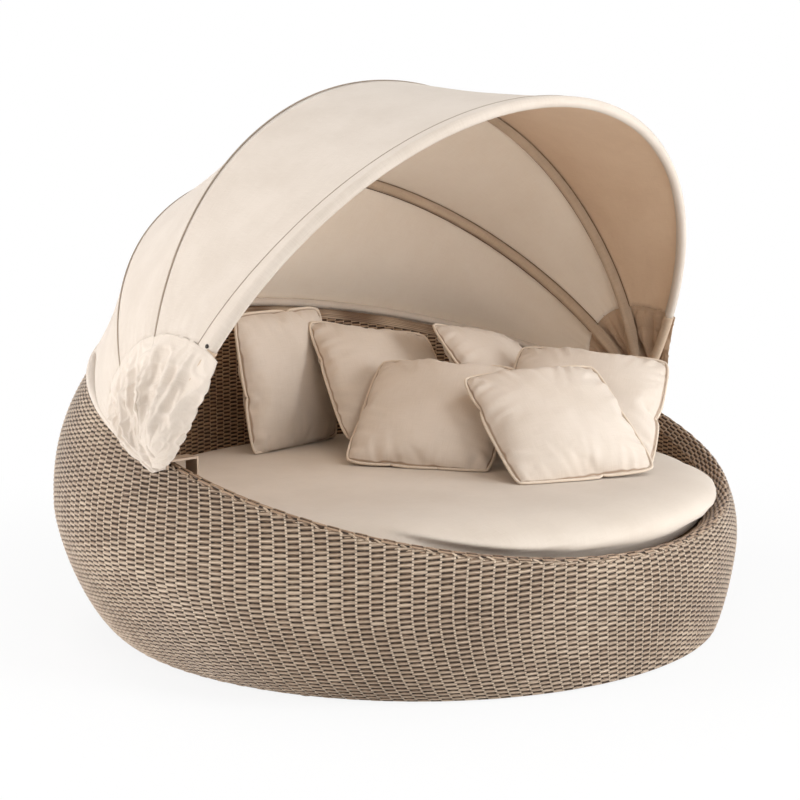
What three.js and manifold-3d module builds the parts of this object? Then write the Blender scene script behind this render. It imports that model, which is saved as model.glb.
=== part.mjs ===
// Outdoor daybed with a folding canopy. All lengths are in millimetres, Z is up and the open front faces -Y.
// The base is a slanted woven bowl: an oval, low at the front, high at the back and widest below its rim.
import * as THREE from 'three';
import Module from 'manifold-3d';

const wasm = await Module();
wasm.setup();

// Overall bowl, as three ovals that the wall joins: the rim, the belly that bulges out below it, and the base.
const rimHalfWidth = 925;
const rimHalfDepth = 822;
const rimForward = 60;
const rimHeight = 551;
const rimSlopeHeight = 260;
const rimEndHeight = 7;
const bellyBulgeWidth = 75;
const bellyBulgeDepth = 78;
const bellyHeight = 300;
const bellySlopeHeight = 102.6;
const baseTuckWidth = 167;
const baseTuckDepth = 54;
const baseForward = 38;
const lowerWallPower = 1.4;
const upperWallPower = 2.473;

// Woven skins, and the braid that closes the rim over both of them.
const skinThickness = 8;
const skinBottom = 8;
const liningThickness = 6;
const liningInset = 44;
const liningGap = 0.6;
const braidDrop = 24;
const braidRise = 5;
const braidOverhang = 3;
const braidTopInset = 12;
const braidTopWidth = 22;
const braidInnerRound = 14;
const upperRowDrop = 60;
const seatGap = 0.3;
const runGap = 0.5;

// Frame tubes inside the wall.
const baseRingRadius = 12.5;
const baseRingGap = 2;
const seatRingRadius = 12.5;
const rimRingRadius = 11;
const ribRadius = 10;
const ribGap = 0.8;
const ribFootRise = 10;
const ribHeadDrop = 14;
const glideRadius = 18;
const glideHeight = 6;

// Deck and mattress.
const deckTop = 262;
const deckThickness = 18;
const deckBarWidth = 30;
const deckBarHeight = 25;
const deckBarSpacing = 400;
const mattressThickness = 138;
const mattressGap = 26;
const mattressRound = 46;
const mattressCrown = 6;
const mattressCrownInset = 110;

// Scatter cushions.
const smallCushionSize = 430;
const largeCushionSize = 462;
const cushionThickness = 126;
const cushionWaist = 9;
const cushionSettle = 7;
const cushionRest = 0.5;

// Canopy pivots and bows.
const pivotForward = 147;
const pivotHeight = 540;
const bracketThickness = 5;
const bracketHalfWidth = 22;
const bracketEar = 20;
const bracketInnerLength = 90;
const studRadius = 5;
const studReach = 21.7;
const studProud = 1.5;
const boreClearance = 0.3;
const strapThickness = 5;
const strapHalfWidth = 11;
const strapEyeRadius = 15;
const strapEyeLength = 35;
const strapClearance = 1.2;
const strapLength = 205;
const strapTaper = 50;
const washerRadius = 12;
const washerThickness = 2;
const nutRadius = 9.5;
const nutThickness = 8;
const bowRadius = 9.5;
const frontBowReach = 949;
const secondBowReach = 931;
const thirdBowReach = 918;
const frontBowAngle = 61.6;
const secondBowAngle = 99.2;
const thirdBowAngle = 130.4;
const rearBowRest = 3;

// Canopy cloth.
const clothThickness = 2;
const clothClearance = 2.2;
const clothSeam = 0.6;
const drapeClearance = 0.6;
const panelSag = 12;
const drapeRadius = 340;
const drapeTipRadius = 30;
const drapeTipClearance = 7;
const drapeSettle = 220;
const drapeFold = 13;

// Counts and chosen shares.
const aroundCount = 40;
const ribEvery = 5;
const glideColumns = [3, 10, 17, 23, 30, 37];
const tubeSides = 8;
const ribSides = 6;
const glideSides = 12;
const eyeSides = 16;
const boreSides = 12;
const nutSides = 6;
const lowerRowShares = [0.4, 0.6, 0.8, 1];
const upperRowShares = [0.36, 0.7];
const braidSideShare = 0.5;
const mattressCount = 36;
const mattressFootRings = 3;
const mattressFootShares = { low: [0.3, 0.16], high: [0.04, 0.6] };
const mattressTopShares = { low: [0.05, 0.62], high: [0.32, 0.17] };
const cushionCells = 10;
const cushionEdgePower = 2.6;
const cushionRoundPower = 0.5;
const cushionDrawPower = 3;
const cushionBunchShare = 0.5;
const bowStations = 20;
const strapStations = 4;
const straightStations = 2;
const panelCells = 20;
const panelStrips = 4;
const drapeCells = 6;
const drapeStrips = 8;
const drapeFolds = 2;
const drapeFoldStartShare = 0.15;
const crescentDepthShare = 0.12;
const crescentEndShare = 0.16;

// Scatter cushions: size, half-width share, half-depth share, then turn, lean and roll in degrees.
const cushionPlaceShares = [
  [smallCushionSize, -0.017, 0.745, 10.9, 9, 0.9],
  [largeCushionSize, 0.278, 0.488, -5.1, 42.4, -10.5],
  [largeCushionSize, 0.652, 0.18, 13.5, 45.8, -15],
  [largeCushionSize, 0.581, -0.272, -53.4, 52.5, -8.1],
  [smallCushionSize, 0.122, 0.063, -60.3, 52, -2.5],
  [smallCushionSize, 0.254, -0.433, -27, 52.6, 4.3],
];

// Places that follow from the sizes above.
const rad = THREE.MathUtils.degToRad;
const bellyHalfWidth = rimHalfWidth + bellyBulgeWidth;
const bellyHalfDepth = rimHalfDepth + bellyBulgeDepth;
const baseHalfWidth = bellyHalfWidth - baseTuckWidth;
const baseHalfDepth = bellyHalfDepth - baseTuckDepth;
const pivotY = -pivotForward;
const mattressBottom = deckTop + seatGap;
const mattressTop = mattressBottom + mattressThickness;
const deckBottom = deckTop - deckThickness;
const barTop = deckBottom - seatGap;
const barBottom = barTop - deckBarHeight;
const seatRingHeight = barBottom - seatGap - seatRingRadius;
const baseRingHeight = glideHeight + seatGap + baseRingRadius;
const strapPitch = strapThickness + strapClearance;
const clothOffset = bowRadius + clothClearance + clothThickness / 2;
const drapeOffset = bowRadius + drapeClearance + clothThickness / 2;
const mattressInset = liningInset + liningThickness + braidOverhang + mattressGap;

const part = new THREE.Group();
part.name = 'outdoor_daybed';

function vec(x, y, z) {
  return new THREE.Vector3(x, y, z);
}

// One closed solid from points and triangles, turned so that its faces look outwards.
function solidFrom(points, triangles) {
  let volume = 0;
  for (const [a, b, c] of triangles) {
    volume += points[a].dot(points[b].clone().cross(points[c]));
  }
  const turned = volume > 0 ? triangles : triangles.map(([a, b, c]) => [a, c, b]);
  const geometry = new THREE.BufferGeometry();
  const numbers = points.flatMap((p) => [p.x, p.y, p.z]);
  geometry.setAttribute('position', new THREE.Float32BufferAttribute(numbers, 3));
  geometry.setIndex(turned.flat());
  geometry.computeVertexNormals();
  return geometry;
}

function add(name, geometry, colour, roughness, metalness) {
  const material = new THREE.MeshStandardMaterial({ color: colour, roughness, metalness });
  const mesh = new THREE.Mesh(geometry, material);
  mesh.name = name;
  part.add(mesh);
  return mesh;
}

// A ring solid: sections[i][j] closes on itself both around the ring and around each section.
function ringSolid(sections) {
  const n = sections.length;
  const m = sections[0].length;
  const points = sections.flat();
  const triangles = [];
  for (let i = 0; i < n; i += 1) {
    for (let j = 0; j < m; j += 1) {
      const a = i * m + j;
      const b = i * m + ((j + 1) % m);
      const c = ((i + 1) % n) * m + ((j + 1) % m);
      const d = ((i + 1) % n) * m + j;
      triangles.push([a, b, c], [a, c, d]);
    }
  }
  return solidFrom(points, triangles);
}

// A bar solid: sections joined in a row, with a flat end at each side.
function barSolid(sections) {
  const n = sections.length;
  const m = sections[0].length;
  const points = sections.flat();
  const triangles = [];
  for (let i = 0; i + 1 < n; i += 1) {
    for (let j = 0; j < m; j += 1) {
      const a = i * m + j;
      const b = i * m + ((j + 1) % m);
      const c = b + m;
      const d = a + m;
      triangles.push([a, b, c], [a, c, d]);
    }
  }
  const last = (n - 1) * m;
  for (let j = 1; j + 1 < m; j += 1) {
    triangles.push([0, j + 1, j], [last, last + j, last + j + 1]);
  }
  return solidFrom(points, triangles);
}

// A stack of rings of points closed by one point at each end.
function stackSolid(rings, low, high) {
  const m = rings[0].length;
  const points = [...rings.flat(), low, high];
  const lowIndex = points.length - 2;
  const highIndex = points.length - 1;
  const last = (rings.length - 1) * m;
  const triangles = [];
  for (let j = 0; j < m; j += 1) {
    const k = (j + 1) % m;
    triangles.push([lowIndex, k, j], [highIndex, last + j, last + k]);
    for (let i = 0; i + 1 < rings.length; i += 1) {
      const a = i * m + j;
      const b = i * m + k;
      triangles.push([a, b, b + m], [a, b + m, a + m]);
    }
  }
  return solidFrom(points, triangles);
}

// A sheet solid from its outer and its inner grid of points.
function sheetSolid(outer, inner) {
  const rows = outer.length;
  const columns = outer[0].length;
  const points = [...outer.flat(), ...inner.flat()];
  const half = rows * columns;
  const triangles = [];
  for (let i = 0; i + 1 < rows; i += 1) {
    for (let j = 0; j + 1 < columns; j += 1) {
      const a = i * columns + j;
      const b = a + 1;
      const c = b + columns;
      const d = a + columns;
      triangles.push([a, b, c], [a, c, d], [half + a, half + c, half + b], [half + a, half + d, half + c]);
    }
  }
  const rim = [];
  for (let j = 0; j + 1 < columns; j += 1) {
    rim.push(j);
  }
  for (let i = 0; i + 1 < rows; i += 1) {
    rim.push(i * columns + columns - 1);
  }
  for (let j = columns - 1; j > 0; j -= 1) {
    rim.push((rows - 1) * columns + j);
  }
  for (let i = rows - 1; i > 0; i -= 1) {
    rim.push(i * columns);
  }
  rim.forEach((a, index) => {
    const b = rim[(index + 1) % rim.length];
    triangles.push([a, half + b, b], [a, half + a, half + b]);
  });
  return solidFrom(points, triangles);
}

function boxBetween(low, high) {
  const size = high.clone().sub(low);
  const middle = high.clone().add(low).multiplyScalar(0.5);
  return new THREE.BoxGeometry(size.x, size.y, size.z).translate(middle.x, middle.y, middle.z);
}

// A round bar along X from one x to another, centred on the pivot axis.
function axle(radius, fromX, toX, sides) {
  const ring = [];
  for (let k = 0; k < sides; k += 1) {
    const angle = ((2 * k + 1) * Math.PI) / sides;
    ring.push([radius * Math.cos(angle), radius * Math.sin(angle)]);
  }
  return barSolid([fromX, toX].map((x) => ring.map(([y, z]) => vec(x, pivotY + y, pivotHeight + z))));
}

function toManifold(geometry) {
  return new wasm.Manifold(manifoldMesh(geometry));
}

function manifoldMesh(geometry) {
  const places = geometry.getAttribute('position').array;
  const keys = new Map();
  const vertices = [];
  const order = Array.from(geometry.index.array, (i) => {
    const place = [places[3 * i], places[3 * i + 1], places[3 * i + 2]];
    const key = place.join(' ');
    if (!keys.has(key)) {
      keys.set(key, vertices.length / 3);
      vertices.push(...place);
    }
    return keys.get(key);
  });
  const vertProperties = new Float32Array(vertices);
  return new wasm.Mesh({ numProp: 3, vertProperties, triVerts: new Uint32Array(order) });
}

function fromManifold(manifold) {
  const mesh = manifold.getMesh();
  const geometry = new THREE.BufferGeometry();
  const places = [];
  for (let i = 0; i < mesh.vertProperties.length; i += mesh.numProp) {
    places.push(mesh.vertProperties[i], mesh.vertProperties[i + 1], mesh.vertProperties[i + 2]);
  }
  geometry.setAttribute('position', new THREE.Float32BufferAttribute(places, 3));
  geometry.setIndex(Array.from(mesh.triVerts));
  geometry.computeVertexNormals();
  return geometry;
}

// The rim line, and how far its outward direction points along X and Y at an angle around the oval.
function rimPoint(angle) {
  const s = Math.sin(angle);
  const z = rimHeight + rimSlopeHeight * s + rimEndHeight * s * s;
  return vec(rimHalfWidth * Math.cos(angle), rimHalfDepth * s - rimForward, z);
}

function rimOutward(angle) {
  return vec(Math.cos(angle) / rimHalfWidth, Math.sin(angle) / rimHalfDepth, 0).normalize();
}

function rimInside(angle, inset, z) {
  const place = rimPoint(angle).addScaledVector(rimOutward(angle), -inset);
  place.z = z;
  return place;
}

// The outer face of the woven wall at an angle around the bowl and at a height.
function wallPoint(angle, z) {
  const c = Math.cos(angle);
  const s = Math.sin(angle);
  const rim = rimPoint(angle);
  const bellyZ = bellyHeight + bellySlopeHeight * s;
  const belly = vec(bellyHalfWidth * c, bellyHalfDepth * s, z);
  if (z > bellyZ) {
    const share = Math.min(1, (z - bellyZ) / (rim.z - bellyZ)) ** upperWallPower;
    return belly.lerp(vec(rim.x, rim.y, z), share);
  }
  const turn = (1 - z / bellyZ) ** (lowerWallPower / 2);
  const share = (1 - turn * turn) ** (1 / lowerWallPower);
  return vec(baseHalfWidth * c, baseHalfDepth * s - baseForward, z).lerp(belly, share);
}

const columnAngles = Array.from({ length: aroundCount }, (_, i) => (2 * Math.PI * i) / aroundCount);

function columnHeights(angle) {
  const bellyZ = bellyHeight + bellySlopeHeight * Math.sin(angle);
  const rimZ = rimPoint(angle).z;
  const lastZ = rimZ - upperRowDrop;
  const lower = lowerRowShares.map((share) => bellyZ * (1 - Math.cos((share * Math.PI) / 2)));
  const low = lower.map((z) => Math.max(z, skinBottom));
  const upper = upperRowShares.map((share) => bellyZ + (lastZ - bellyZ) * share);
  return [skinBottom, ...low, ...upper, lastZ, rimZ - braidDrop - seatGap];
}

const skinRows = columnAngles.map((angle) => columnHeights(angle).map((z) => wallPoint(angle, z)));

// The wall's outward direction at each point of the skin, from its neighbours.
function skinNormal(i, j) {
  const n = skinRows.length;
  const last = skinRows[i].length - 1;
  const around = skinRows[(i + 1) % n][j].clone().sub(skinRows[(i + n - 1) % n][j]);
  const up = skinRows[i][Math.min(j + 1, last)].clone().sub(skinRows[i][Math.max(j - 1, 0)]);
  return around.cross(up).normalize();
}

const skinNormals = skinRows.map((rows, i) => rows.map((_, j) => skinNormal(i, j)));

function insideSkin(i, j, depth) {
  return skinRows[i][j].clone().addScaledVector(skinNormals[i][j], -depth);
}

function buildSkin() {
  const sections = skinRows.map((rows, i) => {
    const inner = rows.map((_, j) => insideSkin(i, j, skinThickness));
    return [...rows, ...inner.reverse()];
  });
  add('wicker_shell', ringSolid(sections), 0xa8917a, 0.75, 0);
}

function buildLining() {
  const low = deckTop + seatGap;
  const sections = columnAngles.map((angle) => {
    const high = rimPoint(angle).z - braidDrop - liningGap;
    const outer = liningInset;
    const inner = liningInset + liningThickness;
    return [
      rimInside(angle, outer, low),
      rimInside(angle, inner, low),
      rimInside(angle, inner, high),
      rimInside(angle, outer, high),
    ];
  });
  add('wicker_lining', ringSolid(sections), 0x8a7058, 0.75, 0);
}

function buildBraid() {
  const sections = columnAngles.map((angle) => {
    const z = rimPoint(angle).z;
    const low = z - braidDrop;
    const foot = wallPoint(angle, low);
    const outward = rimOutward(angle);
    const middle = foot.clone().lerp(rimPoint(angle), braidSideShare).addScaledVector(outward, braidOverhang);
    const inner = liningInset + liningThickness + braidOverhang;
    const top = braidTopInset + braidTopWidth;
    return [
      foot.addScaledVector(outward, braidOverhang),
      middle,
      rimInside(angle, -braidOverhang * braidSideShare, z),
      rimInside(angle, braidTopInset, z + braidRise),
      rimInside(angle, top, z + braidRise),
      rimInside(angle, top + braidInnerRound, z),
      rimInside(angle, inner, z - braidDrop * braidSideShare),
      rimInside(angle, inner, low),
      rimInside(angle, liningInset, low),
    ];
  });
  add('rim_braid', ringSolid(sections), 0x9c8468, 0.7, 0);
}

// The distance from a tube's middle to the corners of its many-sided section.
function cornerOf(radius, sides) {
  return radius / Math.cos(Math.PI / sides);
}

// A round tube ring with flats at the top and bottom.
function tubeRing(centres, radius) {
  const corner = cornerOf(radius, tubeSides);
  const middle = centres.reduce((sum, p) => sum.add(p), vec(0, 0, 0)).divideScalar(centres.length);
  const sections = centres.map((centre) => {
    const outward = vec(centre.x - middle.x, centre.y - middle.y, 0).normalize();
    return Array.from({ length: tubeSides }, (_, k) => {
      const angle = ((2 * k + 1) * Math.PI) / tubeSides;
      const place = centre.clone().addScaledVector(outward, corner * Math.cos(angle));
      place.z += corner * Math.sin(angle);
      return place;
    });
  });
  return ringSolid(sections);
}

const baseRingLine = columnAngles.map((angle, i) => {
  const place = insideSkin(i, 0, skinThickness);
  place.z = baseRingHeight;
  return place.addScaledVector(rimOutward(angle), -baseRingGap - cornerOf(baseRingRadius, tubeSides));
});

// The height and place on a skin column's inner side, pushed in by a depth.
function besideSkin(i, z, depth) {
  const rows = skinRows[i].map((_, j) => insideSkin(i, j, depth));
  let j = 0;
  while (j + 2 < rows.length && rows[j + 1].z < z) {
    j += 1;
  }
  const share = (z - rows[j].z) / (rows[j + 1].z - rows[j].z);
  return rows[j].clone().lerp(rows[j + 1], share);
}

const ribDepth = skinThickness + ribGap + ribRadius;
const seatRingDepth = skinThickness + ribGap + 2 * ribRadius + runGap + cornerOf(seatRingRadius, tubeSides);
const rimRingDepth = skinThickness + runGap + cornerOf(rimRingRadius, tubeSides);
const seatRingLine = columnAngles.map((_, i) => besideSkin(i, seatRingHeight, seatRingDepth));
const rimRingLine = columnAngles.map((angle, i) => {
  const z = rimPoint(angle).z - braidDrop - 2 * seatGap - cornerOf(rimRingRadius, tubeSides);
  return besideSkin(i, z, rimRingDepth);
});

// A rib follows the skin from the base ring to the rim ring in the upright plane of its column.
function ribSolid(i) {
  const foot = baseRingLine[i].clone();
  foot.z = baseRingHeight + baseRingRadius + seatGap;
  const head = rimRingLine[i].clone();
  head.z -= cornerOf(rimRingRadius, tubeSides) + runGap + (ribRadius * rimSlopeHeight) / rimHalfDepth;
  const neck = head.clone();
  neck.z -= ribHeadDrop;
  const ankle = foot.clone();
  ankle.z += ribFootRise;
  const between = skinRows[i].map((_, j) => insideSkin(i, j, ribDepth));
  const low = ankle.z + ribFootRise;
  const high = neck.z - ribFootRise;
  const path = [foot, ankle, ...between.filter((p) => p.z > low && p.z < high), neck, head];
  const across = vec(0, 0, 1).cross(vec(foot.x, foot.y, 0)).normalize();
  const sections = path.map((centre, k) => {
    const after = path[Math.min(k + 1, path.length - 1)];
    const before = path[Math.max(k - 1, 0)];
    const along = k < 1 || k > path.length - 2 ? vec(0, 0, 1) : after.clone().sub(before).normalize();
    const side = across.clone().cross(along).normalize();
    return Array.from({ length: ribSides }, (_, c) => {
      const angle = (2 * c * Math.PI) / ribSides;
      const out = centre.clone().addScaledVector(side, ribRadius * Math.cos(angle));
      return out.addScaledVector(across, ribRadius * Math.sin(angle));
    });
  });
  return barSolid(sections);
}

function buildFrame() {
  add('base_ring', tubeRing(baseRingLine, baseRingRadius), 0x6b5a48, 0.45, 0.6);
  add('seat_ring', tubeRing(seatRingLine, seatRingRadius), 0x6b5a48, 0.45, 0.6);
  add('rim_ring', tubeRing(rimRingLine, rimRingRadius), 0x6b5a48, 0.45, 0.6);
  for (let i = 0; i < aroundCount; i += ribEvery) {
    add(`rib_${1 + i / ribEvery}`, ribSolid(i), 0x6b5a48, 0.45, 0.6);
  }
}

function buildGlides() {
  glideColumns.forEach((column, k) => {
    const place = baseRingLine[column];
    const rings = [0, glideHeight].map((z) => Array.from({ length: glideSides }, (_, c) => {
      const angle = (2 * c * Math.PI) / glideSides;
      return vec(place.x + glideRadius * Math.cos(angle), place.y + glideRadius * Math.sin(angle), z);
    }));
    const glide = stackSolid(rings, vec(place.x, place.y, 0), vec(place.x, place.y, glideHeight));
    add(`glide_${k + 1}`, glide, 0x2b2724, 0.6, 0);
  });
}

// The half-width of a line of ring points at a given y.
function halfWidthAt(line, y) {
  for (let i = 0; i < line.length; i += 1) {
    const a = line[i];
    const b = line[(i + 1) % line.length];
    if (a.x > 0 && b.x > 0 && a.y <= y && b.y > y) {
      return a.x + ((b.x - a.x) * (y - a.y)) / (b.y - a.y);
    }
  }
  return 0;
}

function buildDeck() {
  [-deckBarSpacing, 0, deckBarSpacing].forEach((y, k) => {
    const half = Math.min(
      halfWidthAt(seatRingLine, y - deckBarWidth / 2),
      halfWidthAt(seatRingLine, y + deckBarWidth / 2),
    );
    const low = vec(-half, y - deckBarWidth / 2, barBottom);
    const high = vec(half, y + deckBarWidth / 2, barTop);
    add(`deck_bar_${k + 1}`, boxBetween(low, high), 0x6b5a48, 0.45, 0.6);
  });
  const ringAt = (z) => columnAngles.map((angle) => rimInside(angle, liningInset, z));
  const rings = [deckBottom, deckTop].map(ringAt);
  const deck = stackSolid(rings, vec(0, -rimForward, deckBottom), vec(0, -rimForward, deckTop));
  add('seat_deck', deck, 0x7c6650, 0.8, 0);
}

// The mattress is a rounded oval pad. Its profile runs up from the foot: inset from its side, then rise.
function mattressProfile() {
  const r = mattressRound;
  const t = mattressThickness;
  const edge = t - mattressCrown;
  const atFoot = ([inset, rise]) => [r * inset, r * rise];
  const atTop = ([inset, drop]) => [r * inset, edge - r * drop];
  return [
    [r, 0],
    atFoot(mattressFootShares.low),
    atFoot(mattressFootShares.high),
    [0, t / 2],
    atTop(mattressTopShares.low),
    atTop(mattressTopShares.high),
    [r, edge],
    [mattressCrownInset, t],
  ];
}

function buildMattress() {
  const angles = Array.from({ length: mattressCount }, (_, i) => (2 * Math.PI * i) / mattressCount);
  const rings = mattressProfile().map(([inset, rise]) => {
    return angles.map((angle) => rimInside(angle, mattressInset + inset, mattressBottom + rise));
  });
  const low = vec(0, -rimForward, mattressBottom);
  const high = vec(0, -rimForward, mattressTop);
  add('seat_cushion', stackSolid(rings, low, high), 0xddcab4, 0.9, 0);
}

// The height of the mattress at a place, from the rings of its upper side. Beyond the mattress it is zero.
function mattressTopAt(x, y) {
  const away = Math.hypot(x, y + rimForward);
  const angle = Math.atan2((y + rimForward) / rimHalfDepth, x / rimHalfWidth);
  const upper = mattressProfile().slice(mattressFootRings).map(([inset, rise]) => {
    const place = rimInside(angle, mattressInset + inset, mattressBottom + rise);
    return [Math.hypot(place.x, place.y + rimForward), place.z];
  });
  for (let k = 0; k + 1 < upper.length; k += 1) {
    const [outer, low] = upper[k];
    const [inner, high] = upper[k + 1];
    if (away > inner) {
      return away > outer ? 0 : low + ((high - low) * (outer - away)) / (outer - inner);
    }
  }
  return mattressTop;
}

// A square cushion: full in the middle, thin at its seam, its sides drawn in between the corners.
function cushionPoint(a, b, size, face) {
  const half = size / 2;
  const rise = (1 - Math.abs(a) ** cushionEdgePower) * (1 - Math.abs(b) ** cushionEdgePower);
  const drawX = cushionWaist * (1 - b * b) * Math.sign(a) * Math.abs(a) ** cushionDrawPower;
  const drawY = cushionWaist * (1 - a * a) * Math.sign(b) * Math.abs(b) ** cushionDrawPower;
  const z = (face * cushionThickness * Math.max(rise, 0) ** cushionRoundPower) / 2;
  return vec(half * a - drawX, half * b - drawY, z);
}

// The share of a cushion's half-size that a line of points lies at, bunched towards the seams.
function cushionLine(i) {
  const even = (2 * i) / cushionCells - 1;
  const bunched = -Math.cos((Math.PI * i) / cushionCells);
  return even + (bunched - even) * cushionBunchShare;
}

function cushionSolid(size) {
  const n = cushionCells;
  const points = [];
  const index = new Map();
  const at = (i, j, face) => {
    const edge = i === 0 || j === 0 || i === n || j === n;
    const key = `${i} ${j} ${edge ? 0 : face}`;
    if (!index.has(key)) {
      index.set(key, points.length);
      points.push(cushionPoint(cushionLine(i), cushionLine(j), size, edge ? 0 : face));
    }
    return index.get(key);
  };
  const triangles = [];
  for (const face of [1, -1]) {
    for (let i = 0; i < n; i += 1) {
      for (let j = 0; j < n; j += 1) {
        const quad = [at(i, j, face), at(i + 1, j, face), at(i + 1, j + 1, face), at(i, j + 1, face)];
        const [a, b, c, d] = face > 0 ? quad : quad.reverse();
        const crossed = (i < n / 2) === (j < n / 2);
        const turned = face > 0 ? crossed : !crossed;
        if (turned) {
          triangles.push([a, b, d], [b, c, d]);
        } else {
          triangles.push([a, b, c], [a, c, d]);
        }
      }
    }
  }
  return { points, triangles };
}

// Each cushion settles into the mattress and lies flat on it where it touches.
function buildCushions() {
  cushionPlaceShares.forEach(([size, across, back, ...degrees], k) => {
    const { points, triangles } = cushionSolid(size);
    const [turn, lean, roll] = degrees.map(rad);
    const front = vec(Math.sin(turn), -Math.cos(turn), 0);
    const right = vec(Math.cos(turn), Math.sin(turn), 0);
    const up = vec(0, 0, Math.cos(lean)).addScaledVector(front, -Math.sin(lean));
    const u = right.clone().multiplyScalar(Math.cos(roll)).addScaledVector(up, Math.sin(roll));
    const v = up.clone().multiplyScalar(Math.cos(roll)).addScaledVector(right, -Math.sin(roll));
    const w = u.clone().cross(v);
    const x = across * (rimHalfWidth - mattressInset);
    const y = back * (rimHalfDepth - mattressInset) - rimForward;
    const placed = points.map((p) => {
      const q = u.clone().multiplyScalar(p.x).addScaledVector(v, p.y).addScaledVector(w, p.z);
      return q.add(vec(x, y, 0));
    });
    const lift = Math.min(...placed.map((p) => p.z - mattressTopAt(p.x, p.y)));
    placed.forEach((p) => {
      const settled = p.z - lift - cushionSettle;
      p.z = Math.max(settled, mattressTopAt(p.x, p.y) + cushionRest);
    });
    add(`scatter_cushion_${k + 1}`, solidFrom(placed, triangles), 0xe2d2bf, 0.9, 0);
  });
}

// The canopy bows are hoops through the pivot axis, the front bow innermost and the rear bow outermost.
const pivotTurn = Math.asin((pivotY + rimForward) / rimHalfDepth);
const studStart = rimPoint(pivotTurn).x + studReach;
const strapStart = studStart + bracketThickness + seatGap;
const rearRest = rimInside(Math.PI / 2, braidTopInset + braidTopWidth / 2, 0);
const rearRise = rimPoint(Math.PI / 2).z + braidRise + rearBowRest + bowRadius - pivotHeight;
const rearBow = {
  name: 'rear_bow',
  half: strapStart + strapThickness / 2 + 3 * strapPitch,
  reach: Math.hypot(rearRest.y - pivotY, rearRise),
  angle: Math.PI - Math.atan2(rearRise, rearRest.y - pivotY),
};
const thirdBow = {
  name: 'third_bow',
  half: strapStart + strapThickness / 2 + 2 * strapPitch,
  reach: thirdBowReach,
  angle: rad(thirdBowAngle),
};
const secondBow = {
  name: 'second_bow',
  half: strapStart + strapThickness / 2 + strapPitch,
  reach: secondBowReach,
  angle: rad(secondBowAngle),
};
const frontBow = {
  name: 'front_bow',
  half: strapStart + strapThickness / 2,
  reach: frontBowReach,
  angle: rad(frontBowAngle),
};

// The direction from the pivot axis that an angle points in, and the way it turns as the canopy folds back.
function radialAt(angle) {
  return vec(0, -Math.cos(angle), Math.sin(angle));
}

function backwardAt(angle) {
  return vec(0, Math.sin(angle), Math.cos(angle));
}

function hoopPoint(bow, turn) {
  const place = vec(-bow.half * Math.cos(turn), pivotY, pivotHeight);
  return place.addScaledVector(radialAt(bow.angle), bow.reach * Math.sin(turn));
}

function hoopOutward(bow, turn) {
  const place = vec(-Math.cos(turn) / bow.half, 0, 0);
  return place.addScaledVector(radialAt(bow.angle), Math.sin(turn) / bow.reach).normalize();
}

function hoopTurns(bow) {
  const flatEnd = Math.asin(strapLength / bow.reach);
  const roundStart = Math.asin((strapLength + strapTaper) / bow.reach);
  const eyeEnd = Math.asin(strapEyeLength / bow.reach);
  const turns = [0, eyeEnd, flatEnd / 2, flatEnd];
  for (let k = 0; k <= bowStations; k += 1) {
    turns.push(roundStart + ((Math.PI - 2 * roundStart) * k) / bowStations);
  }
  turns.push(Math.PI - flatEnd, Math.PI - flatEnd / 2, Math.PI - eyeEnd, Math.PI);
  return turns;
}

function bowSolid(bow) {
  const turns = hoopTurns(bow);
  const sections = turns.map((turn, index) => {
    const fromEnd = Math.min(index, turns.length - 1 - index);
    const flat = fromEnd < strapStations;
    const straight = fromEnd < straightStations;
    const thick = flat ? strapThickness / 2 : bowRadius;
    const wide = flat ? strapHalfWidth : bowRadius;
    const side = turn < Math.PI / 2 ? -1 : 1;
    const outward = straight ? vec(side, 0, 0) : hoopOutward(bow, turn);
    const across = backwardAt(bow.angle);
    const centre = hoopPoint(bow, turn);
    centre.x = straight ? side * bow.half : centre.x;
    return Array.from({ length: tubeSides }, (_, k) => {
      const angle = ((2 * k + 1) * Math.PI) / tubeSides;
      const reach = flat ? cornerOf(1, tubeSides) : 1;
      const c = Math.cos(angle) * reach;
      const s = Math.sin(angle) * reach;
      return centre.clone().addScaledVector(outward, thick * c).addScaledVector(across, wide * s);
    });
  });
  let whole = toManifold(barSolid(sections));
  for (const side of [-1, 1]) {
    const low = side * bow.half - strapThickness / 2;
    const eye = toManifold(axle(strapEyeRadius, low, low + strapThickness, eyeSides));
    whole = whole.add(eye);
  }
  for (const side of [-1, 1]) {
    const low = side * bow.half - strapThickness;
    const bore = toManifold(axle(studRadius + boreClearance, low, low + 2 * strapThickness, boreSides));
    whole = whole.subtract(bore);
  }
  return fromManifold(whole);
}

function buildBows() {
  for (const bow of [rearBow, thirdBow, secondBow, frontBow]) {
    add(bow.name, bowSolid(bow), 0x8d8c8a, 0.4, 0.8);
  }
}

// A saddle bracket hooks over the rim braid and carries the stud that all four bows turn on.
const stackEnd = strapStart + 4 * strapThickness + 3 * strapClearance + seatGap;
const nutStart = stackEnd + washerThickness + seatGap;
const studEnd = nutStart + nutThickness + studProud;

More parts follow.
